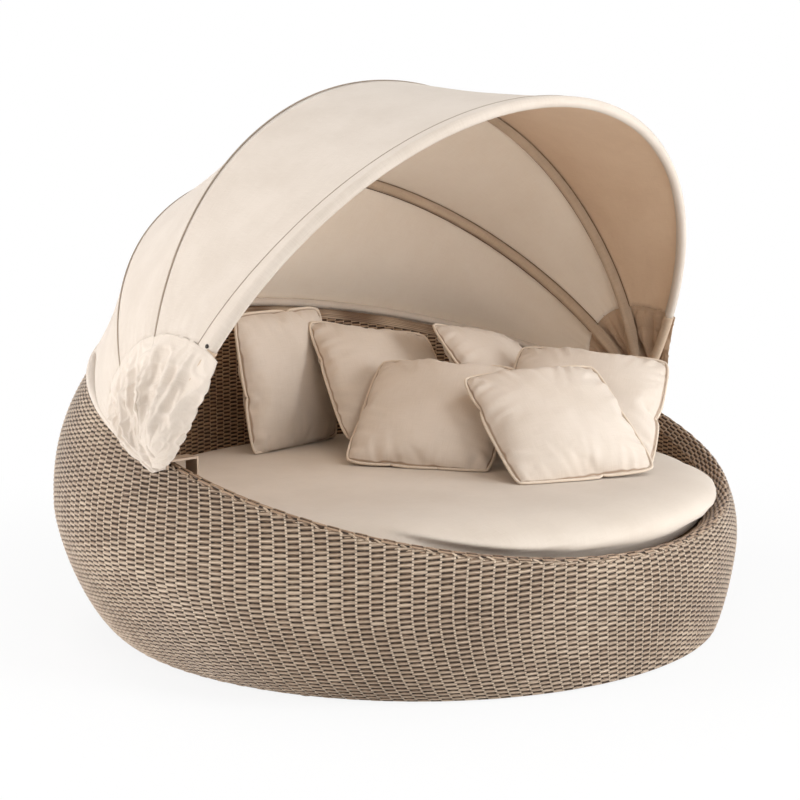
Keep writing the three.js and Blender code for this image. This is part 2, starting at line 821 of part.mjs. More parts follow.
function buildPivots() {
  const rimTurn = Math.asin((pivotY + rimForward + bracketHalfWidth) / rimHalfDepth);
  const bridgeBottom = rimPoint(rimTurn).z + braidRise + seatGap;
  const bridgeTop = bridgeBottom + bracketThickness;
  const nearY = pivotY - bracketHalfWidth;
  const farY = pivotY + bracketHalfWidth;
  const braidInset = liningInset + liningThickness + braidOverhang;
  const braidInner = columnAngles.map((angle) => rimInside(angle, braidInset, 0));
  const innerFace = Math.min(halfWidthAt(braidInner, nearY), halfWidthAt(braidInner, farY)) - seatGap;
  const outerFace = studStart + bracketThickness;
  const lipStart = innerFace - bracketThickness;
  const boxes = [
    [vec(studStart, nearY, pivotHeight - bracketEar), vec(outerFace, farY, pivotHeight + bracketEar)],
    [vec(lipStart, nearY, bridgeBottom), vec(outerFace, farY, bridgeTop)],
    [vec(lipStart, nearY, bridgeTop - bracketInnerLength), vec(innerFace, farY, bridgeTop)],
  ];
  const boreRadius = studRadius + boreClearance;
  for (const [name, side] of [['left', -1], ['right', 1]]) {
    let bracket = null;
    for (const [low, high] of boxes) {
      const box = toManifold(boxBetween(low, high));
      bracket = bracket ? bracket.add(box) : box;
    }
    bracket = bracket.add(toManifold(axle(studRadius, studStart + bracketThickness / 2, studEnd, boreSides)));
    const bore = toManifold(axle(boreRadius, stackEnd - nutThickness, studEnd + nutThickness, boreSides));
    const disc = toManifold(axle(washerRadius, stackEnd, stackEnd + washerThickness, eyeSides));
    const washer = disc.subtract(bore);
    const nut = toManifold(axle(nutRadius, nutStart, nutStart + nutThickness, nutSides)).subtract(bore);
    const turned = (solid) => fromManifold(side > 0 ? solid : solid.mirror([1, 0, 0]));
    add(`pivot_bracket_${name}`, turned(bracket), 0x8d8c8a, 0.4, 0.8);
    add(`pivot_washer_${name}`, turned(washer), 0xb5b3ae, 0.35, 0.9);
    add(`pivot_nut_${name}`, turned(nut), 0xb5b3ae, 0.35, 0.9);
  }
}

// The rear edge of the rear panel leaves the rear bow low on each side, and a narrow crescent stays open.
function rearEdgeShare(share) {
  const near = Math.min(share, 1 - share);
  const along = Math.min(1, near / crescentEndShare);
  return 1 - crescentDepthShare * Math.sin(Math.PI * along) ** 2;
}

function edgePlace(bow, share) {
  const start = Math.asin((drapeRadius + clothSeam) / bow.reach);
  const turn = start + (Math.PI - 2 * start) * share;
  const outward = hoopOutward(bow, turn);
  return { place: hoopPoint(bow, turn).addScaledVector(outward, clothOffset), outward };
}

// A panel of cloth from one bow to the next, over the outer side of both, hollowed a little between them.
function panelSolid(ahead, behind, behindShare) {
  const outer = [];
  const inner = [];
  for (let i = 0; i <= panelCells; i += 1) {
    const share = i / panelCells;
    const a = edgePlace(ahead, share);
    const b = edgePlace(behind, share);
    const reach = behindShare(share);
    a.place.addScaledVector(backwardAt(ahead.angle), clothSeam / 2);
    b.place.addScaledVector(backwardAt(behind.angle), -clothSeam / 2);
    const outerRow = [];
    const innerRow = [];
    for (let j = 0; j <= panelStrips; j += 1) {
      const v = (j / panelStrips) * reach;
      const outward = a.outward.clone().lerp(b.outward, v).normalize();
      const sag = panelSag * 4 * v * (1 - v) * Math.sin(Math.PI * share);
      const middle = a.place.clone().lerp(b.place, v).addScaledVector(outward, -sag);
      outerRow.push(middle.clone().addScaledVector(outward, clothThickness / 2));
      innerRow.push(middle.clone().addScaledVector(outward, -clothThickness / 2));
    }
    outer.push(outerRow);
    inner.push(innerRow);
  }
  return sheetSolid(outer, inner);
}

// A gathered fan of cloth over one pivot between two bows, its folds running together at the tip.
function drapeSolid(ahead, behind, side) {
  const tip = studEnd + drapeTipClearance;
  const outer = [];
  const inner = [];
  for (let i = 0; i <= drapeCells; i += 1) {
    const run = i / drapeCells;
    const radius = drapeTipRadius + (drapeRadius - drapeTipRadius) * run;
    const settle = THREE.MathUtils.smoothstep(radius, drapeTipRadius, drapeSettle);
    const outerRow = [];
    const innerRow = [];
    for (let j = 0; j <= drapeStrips; j += 1) {
      const v = j / drapeStrips;
      const near = radialAt(ahead.angle).multiplyScalar(radius);
      near.addScaledVector(backwardAt(ahead.angle), clothSeam / 2);
      const far = radialAt(behind.angle).multiplyScalar(radius);
      far.addScaledVector(backwardAt(behind.angle), -clothSeam / 2);
      const bow = ahead.half + (behind.half - ahead.half) * v;
      const span = ahead.reach + (behind.reach - ahead.reach) * v;
      const hoop = bow * Math.sqrt(1 - (radius / span) ** 2) + drapeOffset;
      const fullness = Math.sin(Math.PI * Math.min(1, run + drapeFoldStartShare));
      const fold = drapeFold * Math.sin(Math.PI * drapeFolds * v) ** 2 * fullness;
      const x = side * (tip + (hoop - tip) * settle + Math.max(0, fold));
      const middle = near.lerp(far, v).add(vec(x, pivotY, pivotHeight));
      outerRow.push(middle.clone().add(vec((side * clothThickness) / 2, 0, 0)));
      innerRow.push(middle.clone().add(vec((-side * clothThickness) / 2, 0, 0)));
    }
    outer.push(outerRow);
    inner.push(innerRow);
  }
  return sheetSolid(outer, inner);
}

function buildCloth() {
  const whole = () => 1;
  add('front_panel', panelSolid(frontBow, secondBow, whole), 0xe6dacb, 0.9, 0);
  add('middle_panel', panelSolid(secondBow, thirdBow, whole), 0xe6dacb, 0.9, 0);
  add('rear_panel', panelSolid(thirdBow, rearBow, rearEdgeShare), 0xe6dacb, 0.9, 0);
  for (const [name, side] of [['left', -1], ['right', 1]]) {
    add(`front_drape_${name}`, drapeSolid(frontBow, secondBow, side), 0xe6dacb, 0.9, 0);
    add(`middle_drape_${name}`, drapeSolid(secondBow, thirdBow, side), 0xe6dacb, 0.9, 0);
    add(`rear_drape_${name}`, drapeSolid(thirdBow, rearBow, side), 0xe6dacb, 0.9, 0);
  }
}

buildSkin();
buildLining();
buildBraid();
buildFrame();
buildGlides();
buildDeck();
buildMattress();
buildCushions();
buildPivots();
buildBows();
buildCloth();

export default part;
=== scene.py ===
# %% [markdown]
# # An outdoor daybed with a folding canopy
#
# The daybed is a woven bowl that is low at the front and high at the back. It holds a round seat cushion and
# six scatter cushions, and a cloth canopy on four bows folds back over it. The rigid parts come in as a fixed
# frame, and every piece made here is laid over them in the same place, in metres, with Z up.

# %% The frame that everything is built on
import math

import bmesh
import bpy
import numpy as np
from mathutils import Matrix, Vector


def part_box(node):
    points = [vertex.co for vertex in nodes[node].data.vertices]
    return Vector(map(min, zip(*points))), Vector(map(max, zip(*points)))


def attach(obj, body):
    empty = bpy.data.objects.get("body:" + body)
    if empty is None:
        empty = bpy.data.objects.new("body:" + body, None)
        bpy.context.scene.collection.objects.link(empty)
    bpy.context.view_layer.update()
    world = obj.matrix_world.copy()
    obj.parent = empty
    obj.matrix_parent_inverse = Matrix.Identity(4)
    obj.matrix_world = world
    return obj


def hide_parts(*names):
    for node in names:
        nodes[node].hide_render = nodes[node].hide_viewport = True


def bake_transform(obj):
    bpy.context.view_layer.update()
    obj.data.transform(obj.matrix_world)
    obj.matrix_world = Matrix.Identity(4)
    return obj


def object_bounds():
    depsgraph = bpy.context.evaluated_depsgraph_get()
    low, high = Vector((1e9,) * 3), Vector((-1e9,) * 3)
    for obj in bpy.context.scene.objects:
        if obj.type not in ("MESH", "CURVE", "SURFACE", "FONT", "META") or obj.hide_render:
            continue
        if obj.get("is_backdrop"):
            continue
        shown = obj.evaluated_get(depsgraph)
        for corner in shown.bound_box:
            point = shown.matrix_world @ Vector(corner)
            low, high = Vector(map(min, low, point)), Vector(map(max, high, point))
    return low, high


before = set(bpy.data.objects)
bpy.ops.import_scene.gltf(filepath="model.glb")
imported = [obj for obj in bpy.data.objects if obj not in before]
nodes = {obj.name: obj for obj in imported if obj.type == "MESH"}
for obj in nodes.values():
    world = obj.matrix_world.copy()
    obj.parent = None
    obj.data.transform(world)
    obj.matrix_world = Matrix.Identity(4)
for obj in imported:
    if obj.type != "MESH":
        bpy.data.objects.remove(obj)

cad_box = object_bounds()
print("frame:", len(nodes), "nodes, box", [[round(x, 3) for x in corner] for corner in cad_box])

# %% [markdown]
# ## From points to a piece
#
# Nearly every piece is a grid of points worked out by a formula, because a formula keeps the weave, the cloth and
# the frame in step with each other. A flat list of points and a list of faces is the quickest way to hand such
# a grid to Blender. One more value rides along with each face corner: where it lies on the cloth or in the
# weave. The materials read it, so that threads and strands follow the shape.

# %% Making a piece from numbers
def to_piece(name, points, faces, lay=None):
    points = np.asarray(points, float).reshape(-1, 3)
    faces = np.asarray(faces, int)
    mesh = bpy.data.meshes.new(name)
    mesh.vertices.add(len(points))
    mesh.vertices.foreach_set("co", points.ravel())
    mesh.loops.add(faces.size)
    mesh.loops.foreach_set("vertex_index", faces.ravel())
    mesh.polygons.add(len(faces))
    mesh.polygons.foreach_set("loop_start", np.arange(0, faces.size, faces.shape[1]))
    mesh.update(calc_edges=True)
    mesh.polygons.foreach_set("use_smooth", np.ones(len(faces), bool))
    if lay is not None:
        layer = mesh.attributes.new("lay", "FLOAT_VECTOR", "CORNER")
        layer.data.foreach_set("vector", np.asarray(lay, np.float32).ravel())
    mesh.validate()
    piece = bpy.data.objects.new(name, mesh)
    bpy.context.collection.objects.link(piece)
    return piece


def grid_faces(rows, columns, around=False, closed=False):
    """Faces of a grid of points. around joins the last column to the first, closed the last row to the first."""
    r = np.arange(rows if closed else rows - 1)
    c = np.arange(columns if around else columns - 1)
    r, c = [x.ravel() for x in np.meshgrid(r, c, indexing="ij")]
    r2, c2 = (r + 1) % rows, (c + 1) % columns
    return np.stack([r * columns + c, r * columns + c2, r2 * columns + c2, r2 * columns + c], 1)


def cap(piece, rings):
    """Closes open ends, so that the piece is a closed body."""
    work = bmesh.new()
    work.from_mesh(piece.data)
    work.verts.ensure_lookup_table()
    for ring in rings:
        work.faces.new([work.verts[i] for i in ring])
    bmesh.ops.recalc_face_normals(work, faces=work.faces)
    work.to_mesh(piece.data)
    work.free()


def smoothstep(x, low=0.0, high=1.0):
    t = np.clip((np.asarray(x, float) - low) / (high - low), 0, 1)
    return t * t * (3 - 2 * t)


def unit(v):
    v = np.asarray(v, float)
    return v / np.maximum(np.linalg.norm(v, axis=-1, keepdims=True), 1e-12)


def facing(surface, turn, level, around, up):
    """The way a surface faces, from points a little beside and a little above and below."""
    side = surface(turn + around, level) - surface(turn - around, level)
    return unit(np.cross(side, surface(turn, level + up) - surface(turn, level - up)))


# %% [markdown]
# ## Gentle unevenness
#
# Handmade weave and sewn cloth are never quite regular. A sum of a few sine waves with fixed phases gives an
# unevenness that is smooth, cheap and the same each time the script runs.

# %% A repeatable unevenness
def uneven(x, y, seed, size=1.0):
    rng = np.random.default_rng(seed)
    total = np.zeros(np.broadcast(x, y).shape)
    for _ in range(7):
        angle, phase = rng.uniform(0, 2 * math.pi, 2)
        step = size * rng.uniform(0.6, 1.7)
        total += np.sin((x * math.cos(angle) + y * math.sin(angle)) * 2 * math.pi / step + phase)
    return total / 7


def ridges(x, y, seed, size, sharp):
    """Thin crests from 0 to 1, along the lines where the unevenness changes sign."""
    return 1 - np.minimum(np.abs(uneven(x, y, seed, size)) * sharp, 1)


print("helpers ready")

# %% [markdown]
# ## The shape of the bowl
#
# The wall joins three ovals: a small one at the floor, the widest at belly height and the rim, which slopes down
# towards the front. These are the same formulas that the rigid frame follows, written for whole arrays.

# %% The bowl's ovals
RIM_W, RIM_D, RIM_FORWARD = 0.925, 0.822, 0.060
BELLY_W, BELLY_D = 1.000, 0.900
BASE_W, BASE_D, BASE_FORWARD = 0.833, 0.846, 0.038
UPPER_WALL_POWER = 2.473
SEAT_TOP = 0.4003
PIVOT = np.array([0, -0.147, 0.540])


def rim_height(turn):
    s = np.sin(turn)
    return 0.551 + 0.260 * s + 0.007 * s * s


def belly_height(turn):
    return 0.300 + 0.1026 * np.sin(turn)


def rim_out(turn):
    return unit(np.stack([np.cos(turn) / RIM_W, np.sin(turn) / RIM_D, 0 * turn], -1))


def rim_inside(turn, inset, z):
    turn, inset, z = np.broadcast_arrays(turn, inset, z)
    place = np.stack([RIM_W * np.cos(turn), RIM_D * np.sin(turn) - RIM_FORWARD, 0 * turn], -1)
    place = place - rim_out(turn) * inset[..., None]
    place[..., 2] = z
    return place


def wall_point(turn, z):
    turn, z = np.broadcast_arrays(turn, z)
    c, s, belly_z = np.cos(turn), np.sin(turn), belly_height(turn)
    up = np.clip((z - belly_z) / (rim_height(turn) - belly_z), 0, 1) ** UPPER_WALL_POWER
    low = (1 - (np.clip(1 - z / belly_z, 0, 1) ** 0.7) ** 2) ** (1 / 1.4)
    high_side = z > belly_z
    x = np.where(high_side, BELLY_W + (RIM_W - BELLY_W) * up, BASE_W + (BELLY_W - BASE_W) * low) * c
    belly_y, rim_y, base_y = BELLY_D * s, RIM_D * s - RIM_FORWARD, BASE_D * s - BASE_FORWARD
    y = np.where(high_side, belly_y + (rim_y - belly_y) * up, base_y + (belly_y - base_y) * low)
    return np.stack([x, y, z + 0 * x], -1)


def even_turns(half_width, half_depth, count, marks):
    """Angles that divide an oval into equal lengths, at the counts in marks, whole or not."""
    fine = np.linspace(0, 2 * math.pi, 4001)
    steps = np.hypot(half_width * np.sin(fine), half_depth * np.cos(fine))
    run = np.concatenate([[0], np.cumsum((steps[1:] + steps[:-1]) / 2)])
    share = np.asarray(marks) / count
    return np.interp((share - np.floor(share)) * run[-1], run, fine) + 2 * math.pi * np.floor(share)


print("girth of the belly:", round(float(math.pi * (BELLY_W + BELLY_D)), 2), "m")

# %% [markdown]
# ## The weave
#
# The wall is plain weave: thin flat strands run round the bowl, over one upright and under the next, and each
# row does the opposite of its neighbours. So each strand shows as a short bulge over every second upright, and
# between the uprights, where the strands change places, runs a narrow line of small crossings. Modelling every
# strand as a tube would take millions of faces. Here the wall is one height field instead: a product of two
# waves gives the bulges, and a few more columns of points sharpen their ends. That gives real relief on the
# outline and real shadows, and the material adds the edges of the strands.

# %% A height field of woven strands
ROW = 0.0062
RELIEF_MID, RELIEF_SWING, CROSSING_RELIEF = 0.0024, 0.0019, 0.0028
COIL_MID, COIL_SWING = 0.0016, 0.0009
COLUMN_PLACES = np.array([-0.5, -0.35, 0.0, 0.35])


def weave_columns(first, count):
    """Counts of uprights for a run of columns: the crossing line, and the near end, middle and far end of a bulge."""
    return np.append((first + np.arange(count)[:, None] + COLUMN_PLACES).ravel(), first + count - 0.5)


def weave_piece(name, turns, marks, surface, outward, low, high, coiled=False):
    """One woven skin. marks count the uprights at each column, and rows follow the wall from low to high."""
    columns = len(turns)
    levels = low(turns)[:, None] + (high(turns) - low(turns))[:, None] * np.linspace(0, 1, 120)
    steps = np.linalg.norm(np.diff(surface(turns[:, None], levels), axis=1), axis=2)
    lengths = np.concatenate([np.zeros((columns, 1)), np.cumsum(steps, 1)], 1)
    lines = int(lengths[:, -1].max() / (ROW / 2)) + 2
    along = np.arange(lines) * ROW / 2
    z = np.stack([np.interp(along, lengths[i], levels[i]) for i in range(columns)], 1)
    inside = along[:, None] < lengths[:, -1]
    v = (np.arange(lines) / 2 - 0.5)[:, None] + 0 * marks
    jitter = 0.0004 * uneven(marks * 3.1, v * 7.7, 5, 9.0)
    if coiled:
        relief = COIL_MID + COIL_SWING * np.cos(2 * math.pi * v) + jitter
    else:
        wave = np.cos(math.pi * marks)
        wave = np.sign(wave) * np.abs(np.where(np.abs(wave) < 1e-6, 0, wave)) ** 0.4 * np.cos(math.pi * v)
        bulge = 1 - 2 * ((1 - wave) / 2) ** 1.5
        crossing = np.abs(np.abs(marks - np.round(marks)) - 0.5) < 0.01
        relief = np.where(crossing, CROSSING_RELIEF, RELIEF_MID + RELIEF_SWING * bulge) + jitter
    turns = turns + 0 * z
    points = surface(turns, z) + outward(turns, z) * relief[..., None]
    faces = grid_faces(lines, columns)
    k, i = np.divmod(faces[:, 0], columns)
    keep = inside[k, i] | inside[k, i + 1]
    faces, k, i = faces[keep], k[keep], i[keep]
    u = np.stack([marks[i], marks[i + 1], marks[i + 1], marks[i]], 1)
    v = np.stack([k, k, k + 1, k + 1], 1) / 2 - 0.5
    used, faces = np.unique(faces, return_inverse=True)
    faces = faces.reshape(-1, 4)
    print(name, len(faces), "faces")
    return to_piece(name, points.reshape(-1, 3)[used], faces, np.stack([u, v, 0 * u], -1))


# %% The outer wall, in two halves
UPRIGHTS = 196
RIM_EDGE = 0.0030
FLOOR_GAP = 0.0045
LEAN = math.radians(7.5)


def leaning(turn, z):
    """Above the belly the uprights at the sides lean back towards the high rear."""
    most = LEAN * np.cos(turn) ** 3
    belly_z = belly_height(turn)
    return turn + most * np.clip((z - belly_z) / (rim_height(turn + most) - belly_z), 0, 1) ** UPPER_WALL_POWER


outer_weave = []
for name, first in (("outer_weave_back", 0), ("outer_weave_front", UPRIGHTS // 2)):
    marks = weave_columns(first, UPRIGHTS // 2)
    outer_weave.append(weave_piece(
        name, even_turns(BELLY_W, BELLY_D, UPRIGHTS, marks), marks, lambda turn, z: wall_point(leaning(turn, z), z),
        lambda turn, z: facing(wall_point, leaning(turn, z), z, 1e-4, 1e-4), lambda turn: FLOOR_GAP + 0 * turn,
        lambda turn: rim_height(turn + LEAN * np.cos(turn) ** 3) - RIM_EDGE))

# %% [markdown]
# The inner wall shows above the seat cushion. It is the same weave on an upright oval wall, facing inwards.

# %% The inner wall
INNER_INSET, INNER_TOP, INNER_LOW = 0.050, 0.0255, 0.300
INNER_UPRIGHTS = 176


def inner_turns(marks):
    return even_turns(RIM_W - INNER_INSET, RIM_D - INNER_INSET, INNER_UPRIGHTS, marks)


inner_marks = weave_columns(0, INNER_UPRIGHTS)
inner_weave = weave_piece(
    "inner_weave", -inner_turns(inner_marks), inner_marks,
    lambda turn, z: rim_inside(turn, INNER_INSET, z), lambda turn, z: -rim_out(turn),
    lambda turn: np.minimum(INNER_LOW, rim_height(turn) - 0.045), lambda turn: rim_height(turn) - INNER_TOP)

# %% [markdown]
# ## The plaited rim
#
# At the rim the wall turns over the edge and slopes down to the inner wall. At the front and the sides the slope
# is woven like the walls. At the rear, under the lying bow, it is wound with long plain strands, which is the
# same kind of height field with plain rows. Along the edge the ends of the uprights are plaited, so slanted
# strands run up one side of it and down the other. Each plaited strand is a flat tube swept along a path, and
# one helper sweeps an oval section along many paths and makes one mesh of them.

# %% The weave over the rim
# inset and height beside the rim's line, at the front, where it is thin, and at the rear, where a bow rests on it
RIM_FRONT = np.array([[-0.0015, -0.0030], [0.0015, 0.0004], [0.0070, 0.0020], [0.0140, 0.0006], [0.0230, -0.0050],
                      [0.0330, -0.0120], [0.0430, -0.0185], [0.0490, -0.0225], [0.0515, -0.0270]])
RIM_REAR = np.array([[-0.0015, -0.0030], [0.0020, 0.0008], [0.0090, 0.0026], [0.0180, 0.0028], [0.0270, 0.0020],
                     [0.0360, -0.0030], [0.0440, -0.0110], [0.0495, -0.0195], [0.0515, -0.0270]])


def over_rim(turn, share):
    steps = np.linspace(0, 1, len(RIM_FRONT))
    rear = smoothstep(np.sin(turn), 0.0, 0.5)
    inset, drop = (np.interp(share, steps, ahead) * (1 - rear) + np.interp(share, steps, behind) * rear
                   for ahead, behind in zip(RIM_FRONT.T, RIM_REAR.T))
    return rim_inside(turn, inset, rim_height(turn) + drop)


def rim_piece(name, first, count, coiled):
    marks = weave_columns(first, count)
    return weave_piece(name, inner_turns(marks), marks, over_rim,
                       lambda turn, share: facing(over_rim, turn, share, 1e-3, 0.06),
                       lambda turn: 0 * turn, lambda turn: 1 + 0 * turn, coiled)


rim_weave = rim_piece("rim_weave", 76, 112, False)
rim_coil = rim_piece("rim_coil", 12, 64, True)


# %% Sweeping strands along paths
def sweep(name, paths, ups, wide, thick, sides, closed=False):
    """Tubes with an oval section: paths is (count, steps, 3), ups the outward direction at each point."""
    paths, ups = np.asarray(paths, float), unit(ups)
    count, steps, _ = paths.shape
    along = unit(np.roll(paths, -1, 1) - np.roll(paths, 1, 1) if closed else np.gradient(paths, axis=1))
    across = unit(np.cross(along, ups))
    up = np.cross(across, along)
    angle = (np.arange(sides) * 2 * math.pi / sides)[:, None]
    ring = across[:, :, None] * (np.cos(angle) * wide / 2) + up[:, :, None] * (np.sin(angle) * thick / 2)
    base = grid_faces(steps, sides, around=True, closed=closed)
    firsts = np.arange(count) * steps * sides
    k, j = np.divmod(base, sides)
    u = (np.linspace(0, 1, steps) * np.linalg.norm(np.diff(paths[0], axis=0), axis=1).sum())[k]
    v = np.where((j == 0) & (base[:, [0]] % sides == sides - 1), sides, j) / sides
    lay = np.stack([np.stack([u, v, 0 * u + number], -1) for number in range(count)])
    faces = (base + firsts[:, None, None]).reshape(-1, 4)
    piece = to_piece(name, paths[:, :, None] + ring, faces, lay.reshape(-1, 3))
    if not closed:
        start, end = list(range(sides))[::-1], list(range((steps - 1) * sides, steps * sides))
        cap(piece, [[first + i for i in loop] for first in firsts.tolist() for loop in (start, end)])
    return piece


# %% The rim's slanted strands
def plait_point(turn, lean, lift):
    """A point round the rim's edge: lean 0 is on the outer wall below the edge, 1 on the slope inside it."""
    angle = math.radians(200) * lean - math.radians(25)
    inset = 0.0090 - (0.0125 + lift) * np.cos(angle)
    return rim_inside(turn, inset, rim_height(turn) - 0.0070 + (0.0110 + lift) * np.sin(angle) - 0.006 * lean)


STRAND_TURN = 0.088
plait_turns = even_turns(RIM_W, RIM_D, UPRIGHTS, np.arange(UPRIGHTS))[:, None]
steps = np.linspace(0, 1, 15)
paths, ups = [], []
for slant, phase in ((1, 0), (-1, 1)):
    turn = plait_turns + slant * (steps - 0.5) * STRAND_TURN
    under = np.cos(math.pi * (steps * 3.0 + phase))
    paths.append(plait_point(turn, 0.02 + 0.93 * steps + 0 * turn, 0.0006 + 0.0012 * under + 0 * turn))
    ups.append(paths[-1] - rim_inside(turn, 0.010, rim_height(turn) - 0.012))
rim_strands = sweep("rim_plait", np.concatenate(paths), np.concatenate(ups), 0.0058, 0.0026, 6)
print("rim strands:", 2 * UPRIGHTS)

# %% [markdown]
# ## The seat cushion
#
# The seat is one thick round pad. Its top edge is soft, its side bulges a little and its cover is pulled in at the
# foot. Rings of points from the middle of the top, over the side, to the middle of the underside describe it, and
# slow waves and small puckers along the edge keep it from looking turned on a lathe. At the front, where the rim is
# lower than the pad, the soft side bulges a little over it.

# %% The seat cushion's rings
SEAT_INSET, SEAT_LOW, SEAT_SWELL, SEAT_OVERHANG = 0.079, 0.2623, 0.021, 0.036
SEAT_MIDDLE, SEAT_BAND = 0.740, 0.10


def seat_profile():
    """Inset from the pad's side and height, from the top's middle to the underside's middle."""
    t = SEAT_TOP - SEAT_LOW
    top = [(SEAT_MIDDLE * (1 - a), t) for a in np.linspace(0, 0.80, 22)]
    top += [(0.110 + 0.036 * (1 - a), t - 0.0012 * a * a) for a in np.linspace(0, 1, 4)]
    edge = [(0.050 * (1 - math.sin(a * math.pi / 2)) + 0.060 * (1 - a) ** 2,
             t - 0.005 - 0.056 * (1 - math.cos(a * math.pi / 2)) + 0.0038 * (1 - a))
            for a in np.linspace(0, 1, 16)[1:]]
    side = [(0.000, 0.066), (0.0015, 0.052), (0.005, 0.036), (0.013, 0.018), (0.024, 0.007), (0.040, 0.0015),
            (0.060, 0.0)]
    under = [(0.060 + 0.680 * a, 0.0) for a in np.linspace(0.15, 1, 6)]
    return np.array(top + edge + side + under)


def seat_point(inset, rise, turn):
    """Rings shrink evenly towards the middle, so that the grid has no fold there."""
    near = np.minimum(inset, SEAT_BAND)
    over_the_rim = smoothstep(SEAT_LOW + rise - rim_height(turn), 0.004, 0.020)
    overhang = SEAT_OVERHANG * over_the_rim * (1 - near / SEAT_BAND)
    edge = rim_inside(turn, SEAT_INSET - SEAT_SWELL - overhang + near, 0 * turn)
    centre = np.array([0, -RIM_FORWARD, 0])
    share = np.clip((SEAT_MIDDLE - inset) / (SEAT_MIDDLE - SEAT_BAND), 0, 1)[..., None]
    place = np.where(inset[..., None] > SEAT_BAND, centre + (edge - centre) * share, edge)
    place[..., 2] = SEAT_LOW + rise
    return place


# %% The seat cushion
profile = seat_profile()
inset, turn = np.meshgrid(profile[:, 0], np.linspace(0, 2 * math.pi, 241)[:-1], indexing="ij")
rise = profile[:, [1]] + 0 * turn
seat_points = seat_point(inset, rise, turn)
waves = 0.0012 + 0.0012 * uneven(seat_points[..., 0], seat_points[..., 1], 11, 0.5)
seat_points[..., 2] -= smoothstep(rise, 0.10, 0.135) * waves
outward = unit(seat_points * [1, 1, 0] - [0, -RIM_FORWARD, 0])
edge_band = smoothstep(rise, 0.01, 0.05) * (1 - smoothstep(rise, 0.118, 0.134))
puckers = 0.0022 * uneven(turn * 0.85, rise * 1.2, 17, 0.16) + 0.0010 * uneven(turn * 0.85, rise, 23, 0.05)
seat_points -= outward * (edge_band * (0.0018 + puckers))[..., None]
seat_faces = grid_faces(*turn.shape, around=True)[:, ::-1]
seat = to_piece("seat_pad", seat_points, seat_faces, seat_points.reshape(-1, 3)[seat_faces])
print("seat pad:", len(seat_faces), "faces")

# %% [markdown]
# ## Scatter cushions, filled by simulation
#
# A scatter cushion is two square covers sewn together round the edge and stuffed. Its drawn-in sides and thin
# corners come from a flat cover being forced to swell. So each one starts as a flat envelope and the cloth solver
# blows it up. The last shape is kept as an ordinary mesh, and small puckers along the seams are added to it. Each
# cushion has its own faint unevenness, so no two crease alike.

# %% Where the cushions lie
CUSHION_THICK = 0.126
# size, half-width share, half-depth share, then turn, lean and roll in degrees
CUSHIONS = [
    (0.430, -0.017, 0.745, 10.9, 9.0, 0.9),
    (0.462, 0.278, 0.488, -5.1, 42.4, -10.5),
    (0.462, 0.652, 0.180, 13.5, 45.8, -15.0),
    (0.462, 0.581, -0.272, -53.4, 52.5, -8.1),
    (0.430, 0.122, 0.063, -60.3, 52.0, -2.5),
    (0.430, 0.254, -0.433, -27.0, 52.6, 4.3),
]


def cushion_axes(turn, lean, roll):
    turn, lean, roll = (math.radians(a) for a in (turn, lean, roll))
    front = np.array([math.sin(turn), -math.cos(turn), 0])
    right = np.array([math.cos(turn), math.sin(turn), 0])
    up = np.array([0, 0, math.cos(lean)]) - front * math.sin(lean)
    u = right * math.cos(roll) + up * math.sin(roll)
    v = up * math.cos(roll) - right * math.sin(roll)
    return np.stack([u, v, np.cross(u, v)])


def plain_cushion(a, b, size):
    """The swelling of the frame's own plain cushion, which the sewn one has to stay within."""
    rise = (1 - np.abs(a) ** 2.6) * (1 - np.abs(b) ** 2.6)
    return np.stack([size / 2 * a - 0.009 * (1 - b * b) * a ** 3, size / 2 * b - 0.009 * (1 - a * a) * b ** 3,
                     CUSHION_THICK / 2 * np.maximum(rise, 0) ** 0.5], -1)


def cushion_centre(number, axes, size, across, back):
    line = np.linspace(-1, 1, 11)
    line = (line - np.cos(np.pi * np.arange(11) / 10)) / 2
    a, b = np.meshgrid(line, line)
    shape = plain_cushion(a.ravel(), b.ravel(), size)
    shape = np.concatenate([shape, shape * [1, 1, -1]]) @ axes
    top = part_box(f"scatter_cushion_{number}")[1][2] - shape[:, 2].max()
    return np.array([across * (RIM_W - SEAT_INSET), back * (RIM_D - SEAT_INSET) - RIM_FORWARD, top])


# %% The flat envelope
CELLS = 46
DOME, ROUGH, BOWED = 0.045, 0.004, 0.040


def envelope(size, seed):
    """Two square covers that share their border, a little domed, with slightly rounded corners and bowed sides.

    Gives the points, the faces, for each point its place on the cover and its distance to the edge, and the border.
    """
    n = CELLS + 1
    a, b = np.meshgrid(np.linspace(-1, 1, n), np.linspace(-1, 1, n), indexing="ij")
    belly = np.maximum((1 - np.abs(a) ** 3) * (1 - np.abs(b) ** 3), 0) ** 0.7
    rough = uneven(a, b, seed, 0.5) * ROUGH * belly
    corner = 1 - 0.045 * np.abs(a * b) ** 8
    x, y = (p * corner * (1 + BOWED * (1 - q * q)) * size / 2 for p, q in ((a, b), (b, a)))
    top, under = (np.stack([x, y, side * DOME * belly + rough], -1) for side in (1, -1))
    index = np.arange(n * n).reshape(n, n)
    lower = index.copy()
    lower[1:-1, 1:-1] = n * n + np.arange((n - 2) ** 2).reshape(n - 2, n - 2)
    points = np.concatenate([top.reshape(-1, 3), under[1:-1, 1:-1].reshape(-1, 3)])
    quads = lambda g: np.stack([g[:-1, :-1], g[1:, :-1], g[1:, 1:], g[:-1, 1:]], -1).reshape(-1, 4)
    edge = (1 - np.maximum(np.abs(a), np.abs(b))) * size / 2
    place = points.copy()
    place[:, 2] = np.concatenate([edge.ravel(), edge[1:-1, 1:-1].ravel()])
    faces = np.concatenate([quads(index), quads(lower)[:, ::-1]])
    return points, faces, place, np.concatenate([index[0, :-1], index[:-1, -1], index[-1, :0:-1], index[:0:-1, 0]])


